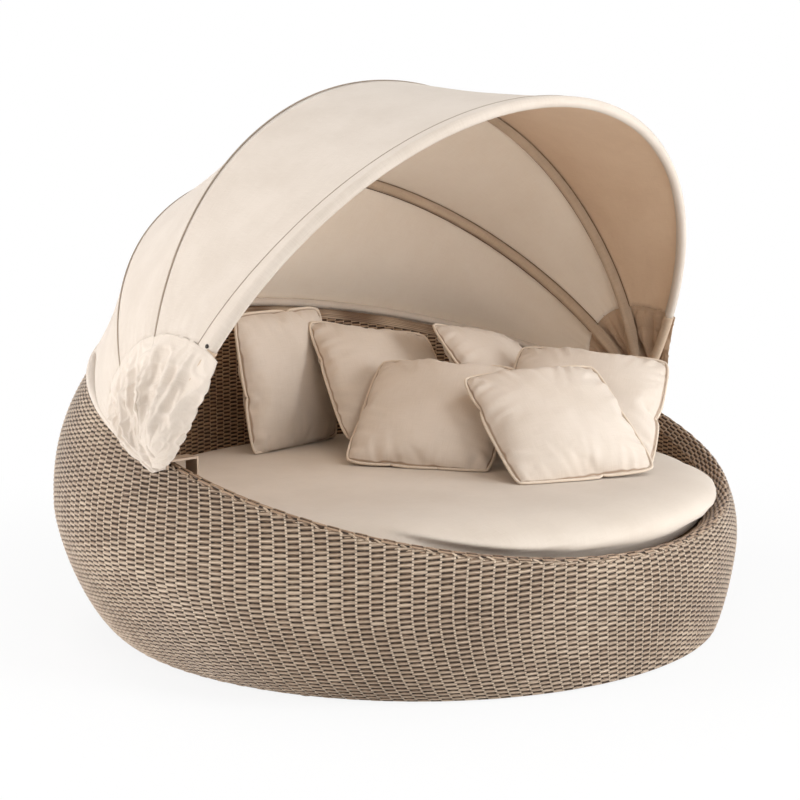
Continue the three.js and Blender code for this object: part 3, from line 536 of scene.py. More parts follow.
# %% Filling them
def fill_covers(covers, frames=12):
    """Runs the cloth solver on all covers at once and returns their points at the end."""
    scene = bpy.context.scene
    for cover in covers:
        cloth = cover.modifiers.new("fill", "CLOTH")
        settings = cloth.settings
        settings.quality = 6
        settings.mass = 0.25
        settings.tension_stiffness = settings.compression_stiffness = 60
        settings.shear_stiffness = 15
        settings.bending_stiffness = 0.06
        settings.use_pressure = True
        settings.uniform_pressure_force = 3.2
        settings.effector_weights.gravity = 0
        cloth.point_cache.frame_start, cloth.point_cache.frame_end = 1, frames
    for number in range(1, frames + 1):
        scene.frame_set(number)
    graph = bpy.context.evaluated_depsgraph_get()
    shapes = []
    for cover in covers:
        mesh = cover.evaluated_get(graph).data
        points = np.empty(len(mesh.vertices) * 3)
        mesh.vertices.foreach_get("co", points)
        shapes.append(points.reshape(-1, 3))
        cover.modifiers.clear()
    scene.frame_set(1)
    return shapes


scatter, flats = [], []
for number, (size, *_) in enumerate(CUSHIONS, 1):
    points, faces, place, border = envelope(size, 40 + number)
    scatter.append(to_piece(f"scatter_{number}", points, faces, place[faces].reshape(-1, 3)))
    flats.append((points, place, border))
shapes = fill_covers(scatter)
print("covers filled:", [round(float(np.ptp(s[:, 2])), 3) for s in shapes], "m thick before fitting")


# %% Placing the filled cushions, and their piping
PIPING_THICK = 0.0078


def smooth_loop(points, times):
    """More points on a closed line, on smooth curves through the given ones."""
    p = [np.roll(points, 1 - k, 0) for k in range(4)]
    out = []
    for step in range(times):
        t = step / times
        out.append(0.5 * (2 * p[1] + (p[2] - p[0]) * t + (2 * p[0] - 5 * p[1] + 4 * p[2] - p[3]) * t * t
                          + (3 * p[1] - p[0] - 3 * p[2] + p[3]) * t ** 3))
    return np.stack(out, 1).reshape(-1, 3)


def seam_relief(number, size, place, upper):
    """Puckers that run in from the seam, deepest at the corners, and the groove beside it."""
    x, y, from_edge = place.T
    along = np.where(np.abs(x) > np.abs(y), y, x) + 0.35 * from_edge * np.sign(x * y)
    seam_side = np.round(np.arctan2(y, x) / (math.pi / 2)) + 7 * upper
    pucker = uneven(along + seam_side, from_edge * 0.22, 90 + number, 0.034) * np.exp(-from_edge / 0.042)
    corner = np.exp(-((size / 2 - np.abs(x)) ** 2 + (size / 2 - np.abs(y)) ** 2) / 0.09 ** 2)
    groove = 0.0034 * np.exp(-((from_edge - 0.010) / 0.006) ** 2)
    return (0.0150 + 0.012 * corner) * pucker * smoothstep(from_edge, 0, 0.014) - groove


pipings = []
for number, ((size, across, back, *tilt), cover, shape, (_, place, border)) in enumerate(
        zip(CUSHIONS, scatter, shapes, flats), 1):
    shape = shape - (shape.max(0) + shape.min(0)) / 2
    shape = shape * (size / np.ptp(shape[:, :2], axis=0).max())
    shape[:, 2] *= CUSHION_THICK * 1.04 / np.ptp(shape[:, 2])
    upper = np.sign(shape[:, 2])
    shape[:, 2] += upper * seam_relief(number, size, place, upper)
    axes = cushion_axes(*tilt)
    placed = shape @ axes + cushion_centre(number, axes, size, across, back)
    placed[:, 2] = np.maximum(placed[:, 2], SEAT_TOP + 0.0002)
    cover.data.vertices.foreach_set("co", placed.ravel())
    cover.data.update()
    finer = cover.modifiers.new("finer", "SUBSURF")
    finer.levels = finer.render_levels = 1
    edge = smooth_loop(placed[border], 3)
    edge[:, 2] = np.maximum(edge[:, 2], SEAT_TOP + 0.004)
    normal = np.broadcast_to(axes[2], edge.shape)
    pipings.append(sweep(f"scatter_{number}_piping", edge[None], normal[None], PIPING_THICK, PIPING_THICK, 8,
                         closed=True))
print("cushions placed:", len(scatter))

# %% [markdown]
# ## The canopy
#
# Four bows turn on one axis. The cloth is cut in panels that are sewn to the bows, and it hangs nearly straight
# from one bow to the next with a slight hollow. Low at each side the panels end in an arc, and a gathered piece
# goes on from there to the pivot. One function gives any point on this dome: how far it is from the front bow
# towards the rear bow, how far round the hoop, and how far it stands off. Panels, pockets, welts and the
# gathered sides all take their points from it, so they fit each other everywhere.

# %% The dome between the bows
BOW_HALF = np.array([0.9493, 0.9555, 0.9617, 0.9679])
BOW_REACH = np.array([0.9490, 0.9310, 0.9180, 0.9340])
BOW_ANGLE = np.radians([61.6, 99.2, 130.4, 161.555])
BOW_NAMES = ["front_bow", "second_bow", "third_bow", "rear_bow"]
BOW_BODIES = ["front_bow_set", "second_bow_set", "third_bow_set", "bowl"]
GATHER_REACH = np.array([0.285, 0.278, 0.262, 0.200])
STAND_OFF = 0.0127
HOLLOW = 0.010


def along_bows(q, table):
    return np.interp(q, np.arange(4), table)


def gather_reach(q):
    """How far from the pivot the panels end and the gathered sides begin, on a smooth arc."""
    return np.polyval(np.polyfit(np.arange(4), GATHER_REACH, 3), q)


def radial(angle):
    return np.stack([0 * angle, -np.cos(angle), np.sin(angle)], -1)


def backward(angle):
    return np.stack([0 * angle, np.sin(angle), np.cos(angle)], -1)


def hoop(half, reach, angle, turn, arm):
    """A point of a hoop at a distance (arm) from the axis, and the way outward there."""
    side = np.stack([-np.cos(turn), 0 * turn, 0 * turn], -1)
    out = unit(side / half[..., None] + radial(angle) * (np.sin(turn) / reach)[..., None])
    return side * half[..., None] + radial(angle) * arm[..., None] + PIVOT, out


def dome(q, turn, lift):
    """q runs from 0 at the front bow to 3 at the rear bow, turn from 0 at the left pivot to pi at the right."""
    q, turn, lift = np.broadcast_arrays(np.asarray(q, float), turn, lift)
    half, reach, angle = (along_bows(q, t) for t in (BOW_HALF, BOW_REACH, BOW_ANGLE))
    sector = np.clip(np.floor(q), 0, 2).astype(int)
    share = q - sector
    spread = (BOW_ANGLE[sector + 1] - BOW_ANGLE[sector]) / 2
    chord = np.cos(spread) / np.cos((share - 0.5) * 2 * spread)
    away = reach * np.sin(turn)
    past_arc = away - gather_reach(q)
    hollow = HOLLOW * 4 * share * (1 - share) * smoothstep(past_arc / 0.45)
    place, out = hoop(half, reach, angle, turn, away * (1 + (chord - 1) * smoothstep(past_arc / 0.30)))
    return place + out * (lift - hollow)[..., None]


def seam_turn(q):
    return np.arcsin(gather_reach(q) / along_bows(q, BOW_REACH))


print("crown of the front bow:", dome(0.0, math.pi / 2, 0.0).round(3))


# %% Cloth with two sides
CLOTH_THICK, HALF_THIN = 0.0016, 0.0006


def cloth_piece(name, outer, inner, lay):
    """A thin closed sheet from its outer and inner grids. The inner side takes the piece's second material."""
    rows, columns = outer.shape[:2]
    base = grid_faces(rows, columns)
    count = rows * columns
    ring = np.concatenate([np.arange(columns - 1), np.arange(rows - 1) * columns + columns - 1,
                           (rows - 1) * columns + np.arange(columns - 1, 0, -1), np.arange(rows - 1, 0, -1) * columns])
    after = np.roll(ring, -1)
    rim = np.stack([ring, ring + count, after + count, after], 1)
    faces = np.concatenate([base, base[:, ::-1] + count, rim])
    points = np.concatenate([outer.reshape(-1, 3), inner.reshape(-1, 3)])
    a, b, c, d = (points[faces[:, k]] for k in range(4))
    if (a * (np.cross(b, c) + np.cross(c, d))).sum() < 0:
        faces = faces[:, ::-1]
    piece = to_piece(name, points, faces, np.concatenate([lay.reshape(-1, 3)] * 2)[faces].reshape(-1, 3))
    side = np.repeat([0, 1, 0], [len(base), len(base), len(rim)]).astype(np.int32)
    piece.data.polygons.foreach_set("material_index", side)
    return piece


def lengths_of(grid):
    """How far each point lies along both directions of a cloth grid, in metres."""
    rows = np.cumsum(np.linalg.norm(np.diff(grid, axis=0), axis=2).mean(1))
    columns = np.cumsum(np.linalg.norm(np.diff(grid, axis=1), axis=2).mean(0))
    u, v = np.meshgrid(np.concatenate([[0], rows]), np.concatenate([[0], columns]), indexing="ij")
    return np.stack([u, v, 0 * u], -1)


def sew(name, outer, inner, held, rests_on):
    """Makes the cloth and says how large it was cut: the longest way in both directions, and its area."""
    grid = (outer + inner) / 2
    piece = cloth_piece(name, outer, inner, lengths_of(grid))
    width = np.linalg.norm(np.diff(grid, axis=1), axis=2).sum(1).max()
    length = np.linalg.norm(np.diff(grid, axis=0), axis=2).sum(0).max()
    a, b = grid[1:, 1:] - grid[:-1, :-1], grid[1:, :-1] - grid[:-1, 1:]
    area = float(np.linalg.norm(np.cross(a, b), axis=-1).sum() / 2)
    round(width, 3)
    round(length, 3)
    print(piece.name, "cut", round(width, 2), "x", round(length, 2), "m, area", round(area, 2), "m2")
    return piece


def sew_on_grid(name, grid, held, rests_on, side=-1, outward_left=False):
    """Thin cloth on a grid that is worked out for the left side, and mirrored for the right one."""
    normal = unit(np.cross(np.gradient(grid, axis=0), np.gradient(grid, axis=1)))
    if outward_left:
        normal = normal * np.where(normal[..., :1] > 0, -1, 1)
    mirror = np.array([-side, 1, 1])
    return sew(name, (grid + normal * HALF_THIN) * mirror, (grid - normal * HALF_THIN) * mirror, held, rests_on)


# %% The three panels
PANEL_NAMES = ["front_panel", "middle_panel", "rear_panel"]


def rear_edge(share):
    """The rear panel leaves the rear bow low on the left, where a narrow crescent stays open."""
    return 1 - 0.22 * np.sin(np.pi * np.clip(share / 0.20, 0, 1)) ** 2


def panel_grid(sector, along=150, across=26):
    share = np.linspace(0, 1, along + 1)[:, None]
    v = np.linspace(0.002, 0.998, across + 1) * (rear_edge(share) if sector == 2 else 1 + 0 * share)
    q = sector + v
    start = seam_turn(q)
    turn = start + (math.pi - 2 * start) * share
    away = along_bows(q, BOW_REACH) * np.sin(turn)
    gathers = 0.0016 * np.sin(v * 46 + 2.0 * np.sin(v * 9)) * np.exp(-(away - gather_reach(q)) / 0.05)
    slack = 0.0022 * uneven(turn * 0.94, v * 0.6, 60 + sector, 0.45) * np.sin(np.pi * np.clip(v, 0, 1))
    return q, turn, STAND_OFF + gathers + slack


panels = []
for sector, name in enumerate(PANEL_NAMES):
    q, turn, lift = panel_grid(sector)
    panels.append(sew(name + "_cloth", dome(q, turn, lift + CLOTH_THICK / 2), dome(q, turn, lift - CLOTH_THICK / 2),
                      "stretched", BOW_NAMES[sector:sector + 2]))

# %% [markdown]
# Each bow runs in a pocket of the same cloth. The front pocket wraps the front edge and is stitched down behind
# it, and low at each side a short sleeve goes on round its bow. The two middle pockets are sewn on inside. The
# rear one lies on the rim as a flat tube, and a hem below it closes the gap down to the rim. A pocket is
# described by its section: points that lie on the dome and points that go round the bow.

# %% Pockets for the bows
def round_bow(bow, turn, angle, outward_reach, backward_reach):
    """A point beside the bow's middle line: angle 0 is outward, 90 degrees backward."""
    middle, out = hoop(BOW_HALF[bow], BOW_REACH[bow], BOW_ANGLE[bow], turn, BOW_REACH[bow] * np.sin(turn))
    return (middle + out * math.cos(angle) * outward_reach
            + backward(BOW_ANGLE[bow]) * math.sin(angle) * backward_reach)


def beside_bow(bow, turn, away, lift):
    """A point on the dome at a distance in front of the bow (negative) or behind it."""
    arm = np.maximum(BOW_REACH[bow] * np.sin(turn), 0.2)
    sector = min(bow, 2) if away > 0 else max(bow - 1, 0)
    span = BOW_ANGLE[sector + 1] - BOW_ANGLE[sector]
    return dome(bow + away / (arm * span), turn, lift)


def on_dome(bow, lift, *places):
    return [lambda turn, away=away: beside_bow(bow, turn, away, STAND_OFF + lift) for away in places]


def round_tube(bow, outward_reach, backward_reach, degrees):
    return [lambda turn, angle=math.radians(a): round_bow(bow, turn, angle, outward_reach, backward_reach)
            for a in degrees]


def pocket(name, bow, section, low, along=150, high=None, side=-1):
    """Cloth round a bow, from a distance to the pivot over to the other side, or up to a second distance."""
    start = math.asin(low / BOW_REACH[bow])
    turn = np.linspace(start, math.pi - start if high is None else math.asin(high / BOW_REACH[bow]), along + 1)
    turn = turn if side < 0 else math.pi - turn
    return sew_on_grid(name, np.stack([place(turn) for place in section], 1), "stretched", [BOW_NAMES[bow]])


front_section = (on_dome(0, -0.0022, 0.026, 0.018)
                 + round_tube(0, 0.0125, 0.0125, (125, 155, 185, 215, 245, 275, 305, 330))
                 + on_dome(0, 0.0022, 0.001, 0.008, 0.016, 0.024, 0.030) + on_dome(0, 0.0009, 0.0325))
front_pocket = pocket("front_pocket", 0, front_section, GATHER_REACH[0])
sleeve_section = round_tube(0, 0.0142, 0.0142, range(100, 421, 20))
front_sleeves = [pocket(f"front_sleeve_{word}", 0, sleeve_section, 0.100, 24, 0.292, side)
                 for side, word in ((-1, "left"), (1, "right"))]
middle_pockets = [
    pocket(BOW_NAMES[bow].replace("bow", "pocket"), bow,
           on_dome(bow, -0.0018, -0.020, -0.0165)
           + round_tube(bow, 0.0122, 0.0128, (245, 225, 205, 180, 155, 135, 115))
           + on_dome(bow, -0.0018, 0.0165, 0.020), 0.075)
    for bow in (1, 2)
]
rear_pocket = pocket("rear_pocket", 3, round_tube(3, 0.0165, 0.0115, range(78, 78 + 356, 18)), 0.12)


# %% The hem under the rear pocket
def rear_hem(turn, share):
    """Points from the foot of the rear pocket (share 0) down to the rim (share 1)."""
    top = round_bow(3, turn, 0.0, 0.0, 0.0) - [0, 0, 0.0104]
    around = np.arctan2((top[..., 1] + RIM_FORWARD) / RIM_D, top[..., 0] / RIM_W)
    edge = rim_inside(around, 0, 0)
    from_middle = [np.linalg.norm(p[..., :2] - [0, -RIM_FORWARD], axis=-1) for p in (edge, top)]
    inset = np.clip(from_middle[0] - from_middle[1], 0.004, 0.030)
    way = rim_inside(around, inset, rim_height(around) + 0.0046) - top
    length = np.linalg.norm(way, axis=-1, keepdims=True)
    return top + way / length * np.clip(length, 0.009, 0.021) * share


hem_section = [lambda turn, share=share: rear_hem(turn, share) for share in (0.0, 0.34, 0.67, 1.0)]
rear_hem_cloth = pocket("rear_hem", 3, hem_section, 0.16)


# %% Welts over the bows, and the seams beside the inner pockets
def welt(name, bow, away, lift, wide, thick):
    start = seam_turn(float(bow))
    turn = np.linspace(start, math.pi - start, 261)
    path = beside_bow(bow, turn, away, STAND_OFF + lift)
    up = path - beside_bow(bow, turn, away, STAND_OFF + lift - 0.01)
    return sweep(name, path[None], up[None], wide, thick, 8)


welts = [
    welt("second_welt", 1, 0.0, 0.0012, 0.0062, 0.0040),
    welt("third_welt", 2, 0.0, 0.0012, 0.0062, 0.0040),
    welt("front_stitch_welt", 0, 0.0300, 0.0030, 0.0026, 0.0016),
]
inner_seams = [
    welt(f"{name}_seam_{word}", bow, away, -0.0042, 0.0030, 0.0016)
    for bow, name in ((1, "second"), (2, "third")) for word, away in (("ahead", -0.0205), ("behind", 0.0205))
]
print("welts:", len(welts), "inner seams:", len(inner_seams))

# %% [markdown]
# ## The gathered sides
#
# Below the arc the cloth is gathered to a point at each pivot, so folds run together there like the ribs of a
# fan. A fold is a ridge across the fan that grows from the seam and fades again at the tip. The cloth crosses
# all the bows, which turn one on another, so it is made as three sectors on each side, and the folds run
# across their borders without a step.

# %% Folds of the gathered sides
TIP_REACH, TIP_STAND, TIP_FORWARD, TIP_DROP = 0.013, 0.9985, 0.016, 0.004
# place across the fan, half width, height in millimetres, drift towards the tip
FOLDS = [(-0.10, 0.07, 9, 0.02), (0.03, 0.05, 16, 0.05), (0.15, 0.07, 22, -0.03), (0.29, 0.05, 13, 0.06),
         (0.40, 0.08, 25, -0.05), (0.52, 0.05, 15, 0.05), (0.64, 0.08, 19, 0.02), (0.78, 0.06, 12, -0.04),
         (0.90, 0.07, 14, 0.03)]


def fold_height(across, run, seed):
    """Ridges that run from the seam to the tip, sharp at the crest, and a little crumple over them."""
    rng = np.random.default_rng(seed)
    total = 0 * (across + run)
    for place, width, height, drift in FOLDS:
        place = place + rng.uniform(-0.03, 0.03) + drift * (1 - run)
        bend = 0.016 * np.sin(run * rng.uniform(5, 9) + place * 30)
        first, last = rng.uniform(0.0, 0.25), rng.uniform(0.85, 1.0)
        reach = smoothstep(run, first, first + 0.35) * (1 - smoothstep(run, last - 0.28, last + 0.06))
        shape = np.maximum(1 - np.abs(across - place - bend) / width, 0) ** 1.35
        total = total + height / 1000 * rng.uniform(0.75, 1.2) * reach * shape
    fade = np.sin(np.pi * np.clip(run * 0.96, 0, 1)) ** 0.6
    small = (0.0060 * ridges(across * 2.6 + run * 0.25, run * 0.7, seed + 5, 0.30, 4.5) ** 1.5
             + 0.0045 * ridges(across * 1.6, run * 1.3 + across, seed + 9, 0.34, 4.0) ** 2)
    return total * 1.05 + small * fade


def gather_point(q, run, seed):
    """The gathered cloth on the left side, from the tip at the pivot (run 0) to the seam (run 1)."""
    angle = along_bows(q, BOW_ANGLE) + np.minimum(q, 0) * (BOW_ANGLE[1] - BOW_ANGLE[0])
    half, reach, arc = along_bows(q, BOW_HALF), along_bows(q, BOW_REACH), gather_reach(np.maximum(q, 0))
    arm = TIP_REACH + (arc + 0.004 - TIP_REACH) * run ** 0.95
    place, out = hoop(half, reach, angle, np.arcsin(arm / reach), arm)
    near = 1 - smoothstep(run, 0.0, 0.75)
    place -= near[..., None] * np.stack([TIP_STAND - half, TIP_FORWARD + 0 * half, TIP_DROP + 0 * half], -1)
    curl = 0.020 * smoothstep(-q, 0.15, 0.80) * np.sin(np.pi * np.clip(run, 0, 1)) ** 0.7
    lift = STAND_OFF + 0.0010 + fold_height(q / 3, run, seed) - curl
    return place + out * (lift * smoothstep(run, -0.05, 0.25))[..., None]


# how far the free edge of the cloth reaches past the front bow, from the tip (0) to the seam (1)
FREE_EDGE = np.array([(-0.01, 1.80), (0.12, 1.74), (0.20, 1.55), (0.27, 1.16), (0.36, 0.80), (0.48, 0.61),
                      (0.65, 0.46), (0.86, 0.34), (1.01, 0.21)])
RIGHT_EDGE_SHARE = 0.30


def front_free_edge(run, side):
    """The free edge, with a little waviness. On the right the cloth hangs closer to its bow."""
    spread = np.linspace(-0.06, 0.06, 5)
    edge = sum(np.interp(run + d, *FREE_EDGE.T) for d in spread) / 5 + 0.02 * np.sin(run * 19) * np.sin(np.pi * run)
    return edge * (1 if side < 0 else RIGHT_EDGE_SHARE)


gathered = []
for side, word, seed in ((-1, "left", 7), (1, "right", 19)):
    for sector, part in enumerate(("front", "middle", "rear")):
        run = np.linspace(0, 1, 71)[:, None]
        v = np.linspace(0.0005, 0.9995, 53 if sector == 0 else 43)
        free = front_free_edge(run, side) if sector == 0 else 0 * run
        q = sector + v * (1 + free) - free
        piece = sew_on_grid(f"{part}_gather_{word}", gather_point(q, run + 0 * q, seed), "gathered",
                            BOW_NAMES[sector:sector + 2], side)
        gathered.append((piece, sector, f"{part}_drape_{word}"))
print("gathered pieces:", len(gathered))


# %% The gathered end over each pivot
def gather_tail(name, side, seed):
    """The bunched end of the cloth, which hangs over the pivot and the rim in front of it."""
    s = np.linspace(0, 1, 41)[:, None]
    a = np.linspace(-1, 1, 45)
    half_width = 0.008 + 0.036 * np.sin(np.pi * (0.10 + 0.78 * s)) ** 0.7
    bulk = 0.024 * np.sin(np.pi * (0.10 + 0.84 * s)) ** 0.7
    pleats = 0.0050 * np.cos(a * 9.5 + 1.2 * np.sin(s * 5 + seed)) * np.sin(np.pi * s) ** 0.5
    crease = 0.0035 * ridges(a * 0.5, s * 0.9, seed, 0.5, 4) ** 1.5
    arch = np.maximum(1 - np.abs(a) ** 2.4, 0)
    x = -(0.9790 + (bulk + pleats + crease) * arch + 0.0060 * (1 - s))
    y = PIVOT[1] + 0.004 - 0.042 * s + a * half_width * 0.94
    z = PIVOT[2] + 0.050 - 0.062 * s - 0.006 * s * s - a * half_width * 0.30
    word = "left" if side < 0 else "right"
    return sew_on_grid(name, np.stack([x, y, z], -1), "gathered", [f"pivot_bracket_{word}"], side, outward_left=True)


tails = [gather_tail("gather_tail_left", -1, 3), gather_tail("gather_tail_right", 1, 8)]


# %% A small dark rivet at each end of the front pocket
def rivet(name, side):
    turn = np.array([seam_turn(0.0) + 0.012])
    middle = beside_bow(0, turn, 0.004, STAND_OFF + 0.0030)[0]
    out = unit(middle - beside_bow(0, turn, 0.004, STAND_OFF - 0.01)[0])
    middle, out = middle * [-side, 1, 1], out * [-side, 1, 1]
    across = unit(np.cross(out, [0, 0, 1]))
    up = np.cross(across, out)
    rings = [(0.0050, -0.0020), (0.0052, 0.0004), (0.0042, 0.0014), (0.0018, 0.0019)]
    points = [middle + out * height + (across * np.cos(a) + up * np.sin(a)) * radius
              for radius, height in rings for a in np.linspace(0, 2 * math.pi, 17)[:-1]]
    piece = to_piece(name, points, grid_faces(len(rings), 16, around=True))
    cap(piece, [list(range(16))[::-1], list(range(48, 64))])
    return piece


rivets = [rivet("rivet_left", -1), rivet("rivet_right", 1)]
print("rivets:", len(rivets))

# %% [markdown]
# ## Materials
#
# Effects that several finishes share are built once as node groups: the pattern of the weave, the streaks of a
# strand, the threads of the cloth and the specks of a coating. Each group gives colours, masks or a height, and
# the shader stays in the material, where its roughness and sheen can be read plainly. A node's output is wrapped
# as a value that can be added and multiplied, so the pattern reads like ordinary arithmetic.

# %% Helpers for nodes
def colour(r, g, b):
    """A colour as seen on a screen, from 0 to 255, as the linear colour that the shader needs."""
    line = [c / 255 for c in (r, g, b)]
    return tuple(c / 12.92 if c <= 0.04045 else ((c + 0.055) / 1.055) ** 2.4 for c in line) + (1.0,)


def put(value, socket):
    """Joins a value to a socket, or sets the socket where the value is a plain number or colour."""
    if isinstance(value, Value):
        value.tree.links.new(value.socket, socket)
    elif value is not None:
        socket.default_value = value


def add(tree, kind, *inputs, out=0, **settings):
    node = tree.nodes.new(kind)
    for key, value in settings.items():
        setattr(node, key, value)
    for socket, value in zip(node.inputs, inputs):
        put(value, socket)
    return Value(tree, node.outputs[out])


class Value:
    """A node's output. Arithmetic on it makes the nodes that work the result out."""

    def __init__(self, tree, socket):
        self.tree, self.socket = tree, socket

    def math(self, operation, other=None):
        return add(self.tree, "ShaderNodeMath", self, other, operation=operation)

    def __add__(self, other):
        return self.math("ADD", other)

    def __sub__(self, other):
        return self.math("SUBTRACT", other)

    def __rsub__(self, other):
        return add(self.tree, "ShaderNodeMath", other, self, operation="SUBTRACT")

    def __mul__(self, other):
        return self.math("MULTIPLY", other)

    def __abs__(self):
        return self.math("ABSOLUTE")

    def __round__(self):
        return self.math("ROUND")

    def ramp(self, low, high, start=0.0, end=1.0):
        return add(self.tree, "ShaderNodeMapRange", self, low, high, start, end, interpolation_type="SMOOTHSTEP")

    def split(self):
        node = self.tree.nodes.new("ShaderNodeSeparateXYZ")
        put(self, node.inputs[0])
        return [Value(self.tree, socket) for socket in node.outputs]


def join(x, y, z=0.0):
    return add(x.tree, "ShaderNodeCombineXYZ", x, y, z)


def noise(place, scale, detail=2.0):
    return add(place.tree, "ShaderNodeTexNoise", place, None, scale, detail)


def mix(factor, a, b):
    node = factor.tree.nodes.new("ShaderNodeMix")
    node.data_type = "RGBA"
    for number, value in ((0, factor), (6, a), (7, b)):
        put(value, node.inputs[number])
    return Value(factor.tree, node.outputs[2])


def place_of(tree):
    return add(tree, "ShaderNodeTexCoord", out=3)


def lay_of(tree):
    """Where a point lies on its cloth or in its weave."""
    return add(tree, "ShaderNodeAttribute", attribute_name="lay", attribute_type="GEOMETRY", out=1)


def start_group(name, inputs, outputs):
    """An empty group with named sockets. Returns its tree and the values of its inputs."""
    tree = bpy.data.node_groups.new(name, "ShaderNodeTree")
    for way, sockets in (("INPUT", inputs), ("OUTPUT", outputs)):
        for label, kind in sockets.items():
            tree.interface.new_socket(name=label, in_out=way, socket_type="NodeSocket" + kind)
    start = tree.nodes.new("NodeGroupInput")
    return tree, [Value(tree, start.outputs[label]) for label in inputs]


def end_group(tree, *values):
    end = tree.nodes.new("NodeGroupOutput")
    for value, socket in zip(values, end.inputs):
        put(value, socket)
    return tree


def use_group(tree, group, **values):
    node = tree.nodes.new("ShaderNodeGroup")
    node.node_tree = group
    for label, value in values.items():
        put(value, node.inputs[label])
    return [Value(tree, socket) for socket in node.outputs]


def new_material(name, slot):
    material = bpy.data.materials.new(name)
    material.use_nodes = True
    material["slot"] = slot
    return material, material.node_tree


def finish_material(material, tint, rough, height, depth, strength, **settings):
    """Joins a colour, a roughness and a relief to the shader, and sets the shader's other sockets."""
    tree = material.node_tree
    shader = tree.nodes["Principled BSDF"]
    put(tint, shader.inputs["Base Color"])
    put(rough, shader.inputs["Roughness"])
    for label, value in settings.items():
        shader.inputs[label.replace("_", " ")].default_value = value
    bump = tree.nodes.new("ShaderNodeBump")
    put(strength, bump.inputs["Strength"])
    put(depth, bump.inputs["Distance"])
    put(height, bump.inputs["Height"])
    tree.links.new(bump.outputs[0], shader.inputs["Normal"])
    return material


print("node helpers ready")

# %% [markdown]
# The weave's group reads the counts that the weave pieces carry: uprights along one way and rows along the other.
# From them it works out the same bulges as the shape has, and paints each bulge lighter at its crest and darker
# towards its edges, as painted highlight and painted shade. Then come the pale line of crossings between the
# uprights and the hole under each bulge, which is narrower in its middle. The holes, and the small steps between
# rows along the pale line, are painted near-black as painted shade. Every bulge gets its own tone, since such
# strand is sold in streaky mixes of several browns. The copy of this material inside the bowl has lighter tones,
# as painted light, and the copy over the rim has darker ones, as painted shade.

# %% The pattern of the weave
tree, (lay, light, middle, dark, hole_shade) = start_group(
    "strand weave", {"Lay": "Vector", "Light": "Color", "Middle": "Color", "Dark": "Color", "Hole": "Color"},
    {"Colour": "Color", "Height": "Float", "Depth": "Float"})
u, v, _ = lay.split()
across = (u * math.pi).math("COSINE")
wave = across.math("SIGN") * abs(across).math("POWER", 0.35) * (v * math.pi).math("COSINE")
mark = round(u)
tone = noise(join(mark * 3.71, round((v - mark) * 0.5) * 5.13), 1.0, 0.0)
streak = noise(join(u * 0.8, v * 2.2), 1.0)
fibre = noise(join(u * 2.6, v * 6.0), 1.0, 3.0)
patch = noise(join(u * 0.09, v * 0.03), 1.0)
jag = noise(join(u * 1.7, v * 0.8, 3.0), 1.0)
blend = tone * 0.35 + streak * 0.65 + (patch - 0.5) * 0.5
strand = mix(blend.ramp(0.48, 0.72, 0.0, 0.75), middle, light)
strand = mix(blend.ramp(0.50, 0.32, 0.0, 0.85), strand, dark)
strand = mix(fibre.ramp(0.45, 0.72, 0.0, 0.35), strand, light)
# Painted highlight and painted shade: each bulge is painted lighter at its crest and darker towards its edges.
strand = mix(wave.ramp(0.35, 0.92, 0.0, 0.42), strand, light)
strand = mix(wave.ramp(0.20, -0.45, 0.0, 0.50), strand, dark)
from_crossing = 0.5 - u.math("PINGPONG", 0.5)
line = from_crossing.ramp(0.100, 0.066)
loose = wave + (jag - 0.5) * 1.1 + from_crossing.ramp(0.14, 0.42, -0.10, 0.24)
# Painted shade: the hole under each bulge and the small steps between rows along the line of crossings are painted
# near-black in the hole colour.
hole = loose.ramp(-0.34, -0.68) * from_crossing.ramp(0.36, 0.12, 0.86, 1.0) * from_crossing.ramp(0.055, 0.080)
step = (v + 0.5).math("PINGPONG", 0.5).ramp(0.15, 0.04) * line * 0.80
deep = hole.math("MAXIMUM", step)
shade = mix(line * jag.ramp(0.30, 0.62, 0.35, 0.95), strand, light)
shade = mix(deep * 0.96, shade, hole_shade)
STRAND_WEAVE = end_group(tree, shade, wave * 0.45 + fibre * 0.35 - deep * 0.6 + line * 0.4, deep)


def weave_material(name, slot, *tones):
    material, tree = new_material(name, slot)
    light, middle, dark, hole = (colour(*tone) for tone in tones)
    tint, height, deep = use_group(tree, STRAND_WEAVE, Lay=lay_of(tree), Light=light, Middle=middle, Dark=dark,
                                   Hole=hole)
    return finish_material(material, tint, deep.ramp(0.0, 1.0, 0.38, 0.85), height, 0.0034, 1.0)


# The fourth tone of each weave material is the near-black painted shade of the holes.
WICKER = weave_material("woven strand", "wicker", (216, 194, 170), (146, 121, 99), (104, 81, 62), (26, 15, 9))
# Painted light: the weave inside the bowl is a lighter copy of the same strand, standing in for light on the inner
# wall.
WICKER_IN_PAINTED_LIGHTER = weave_material("woven strand inside painted lighter", "wicker_inner",
                           (222, 192, 162), (170, 136, 107), (118, 88, 66), (38, 24, 16))
# Painted shade: the weave over the rim is a darker copy of the same strand, standing in for shade on the rim's slope.
WICKER_RIM_PAINTED_DARKER = weave_material("woven strand of the rim painted darker", "braid",
                            (200, 172, 144), (134, 104, 80), (88, 63, 46), (24, 14, 9))
print("weave finishes ready")

# %% [markdown]
# The strands of the rim are made one by one or wound in plain rows, so their materials need no weave. They give
# each strand its own tone and long streaks along it, and the gaps between the wound rows are painted dark, as
# painted shade. The sheet behind the weave is seen only through the holes, and it is painted dark brown with
# darker lines between rows, as the painted shade behind the weave.

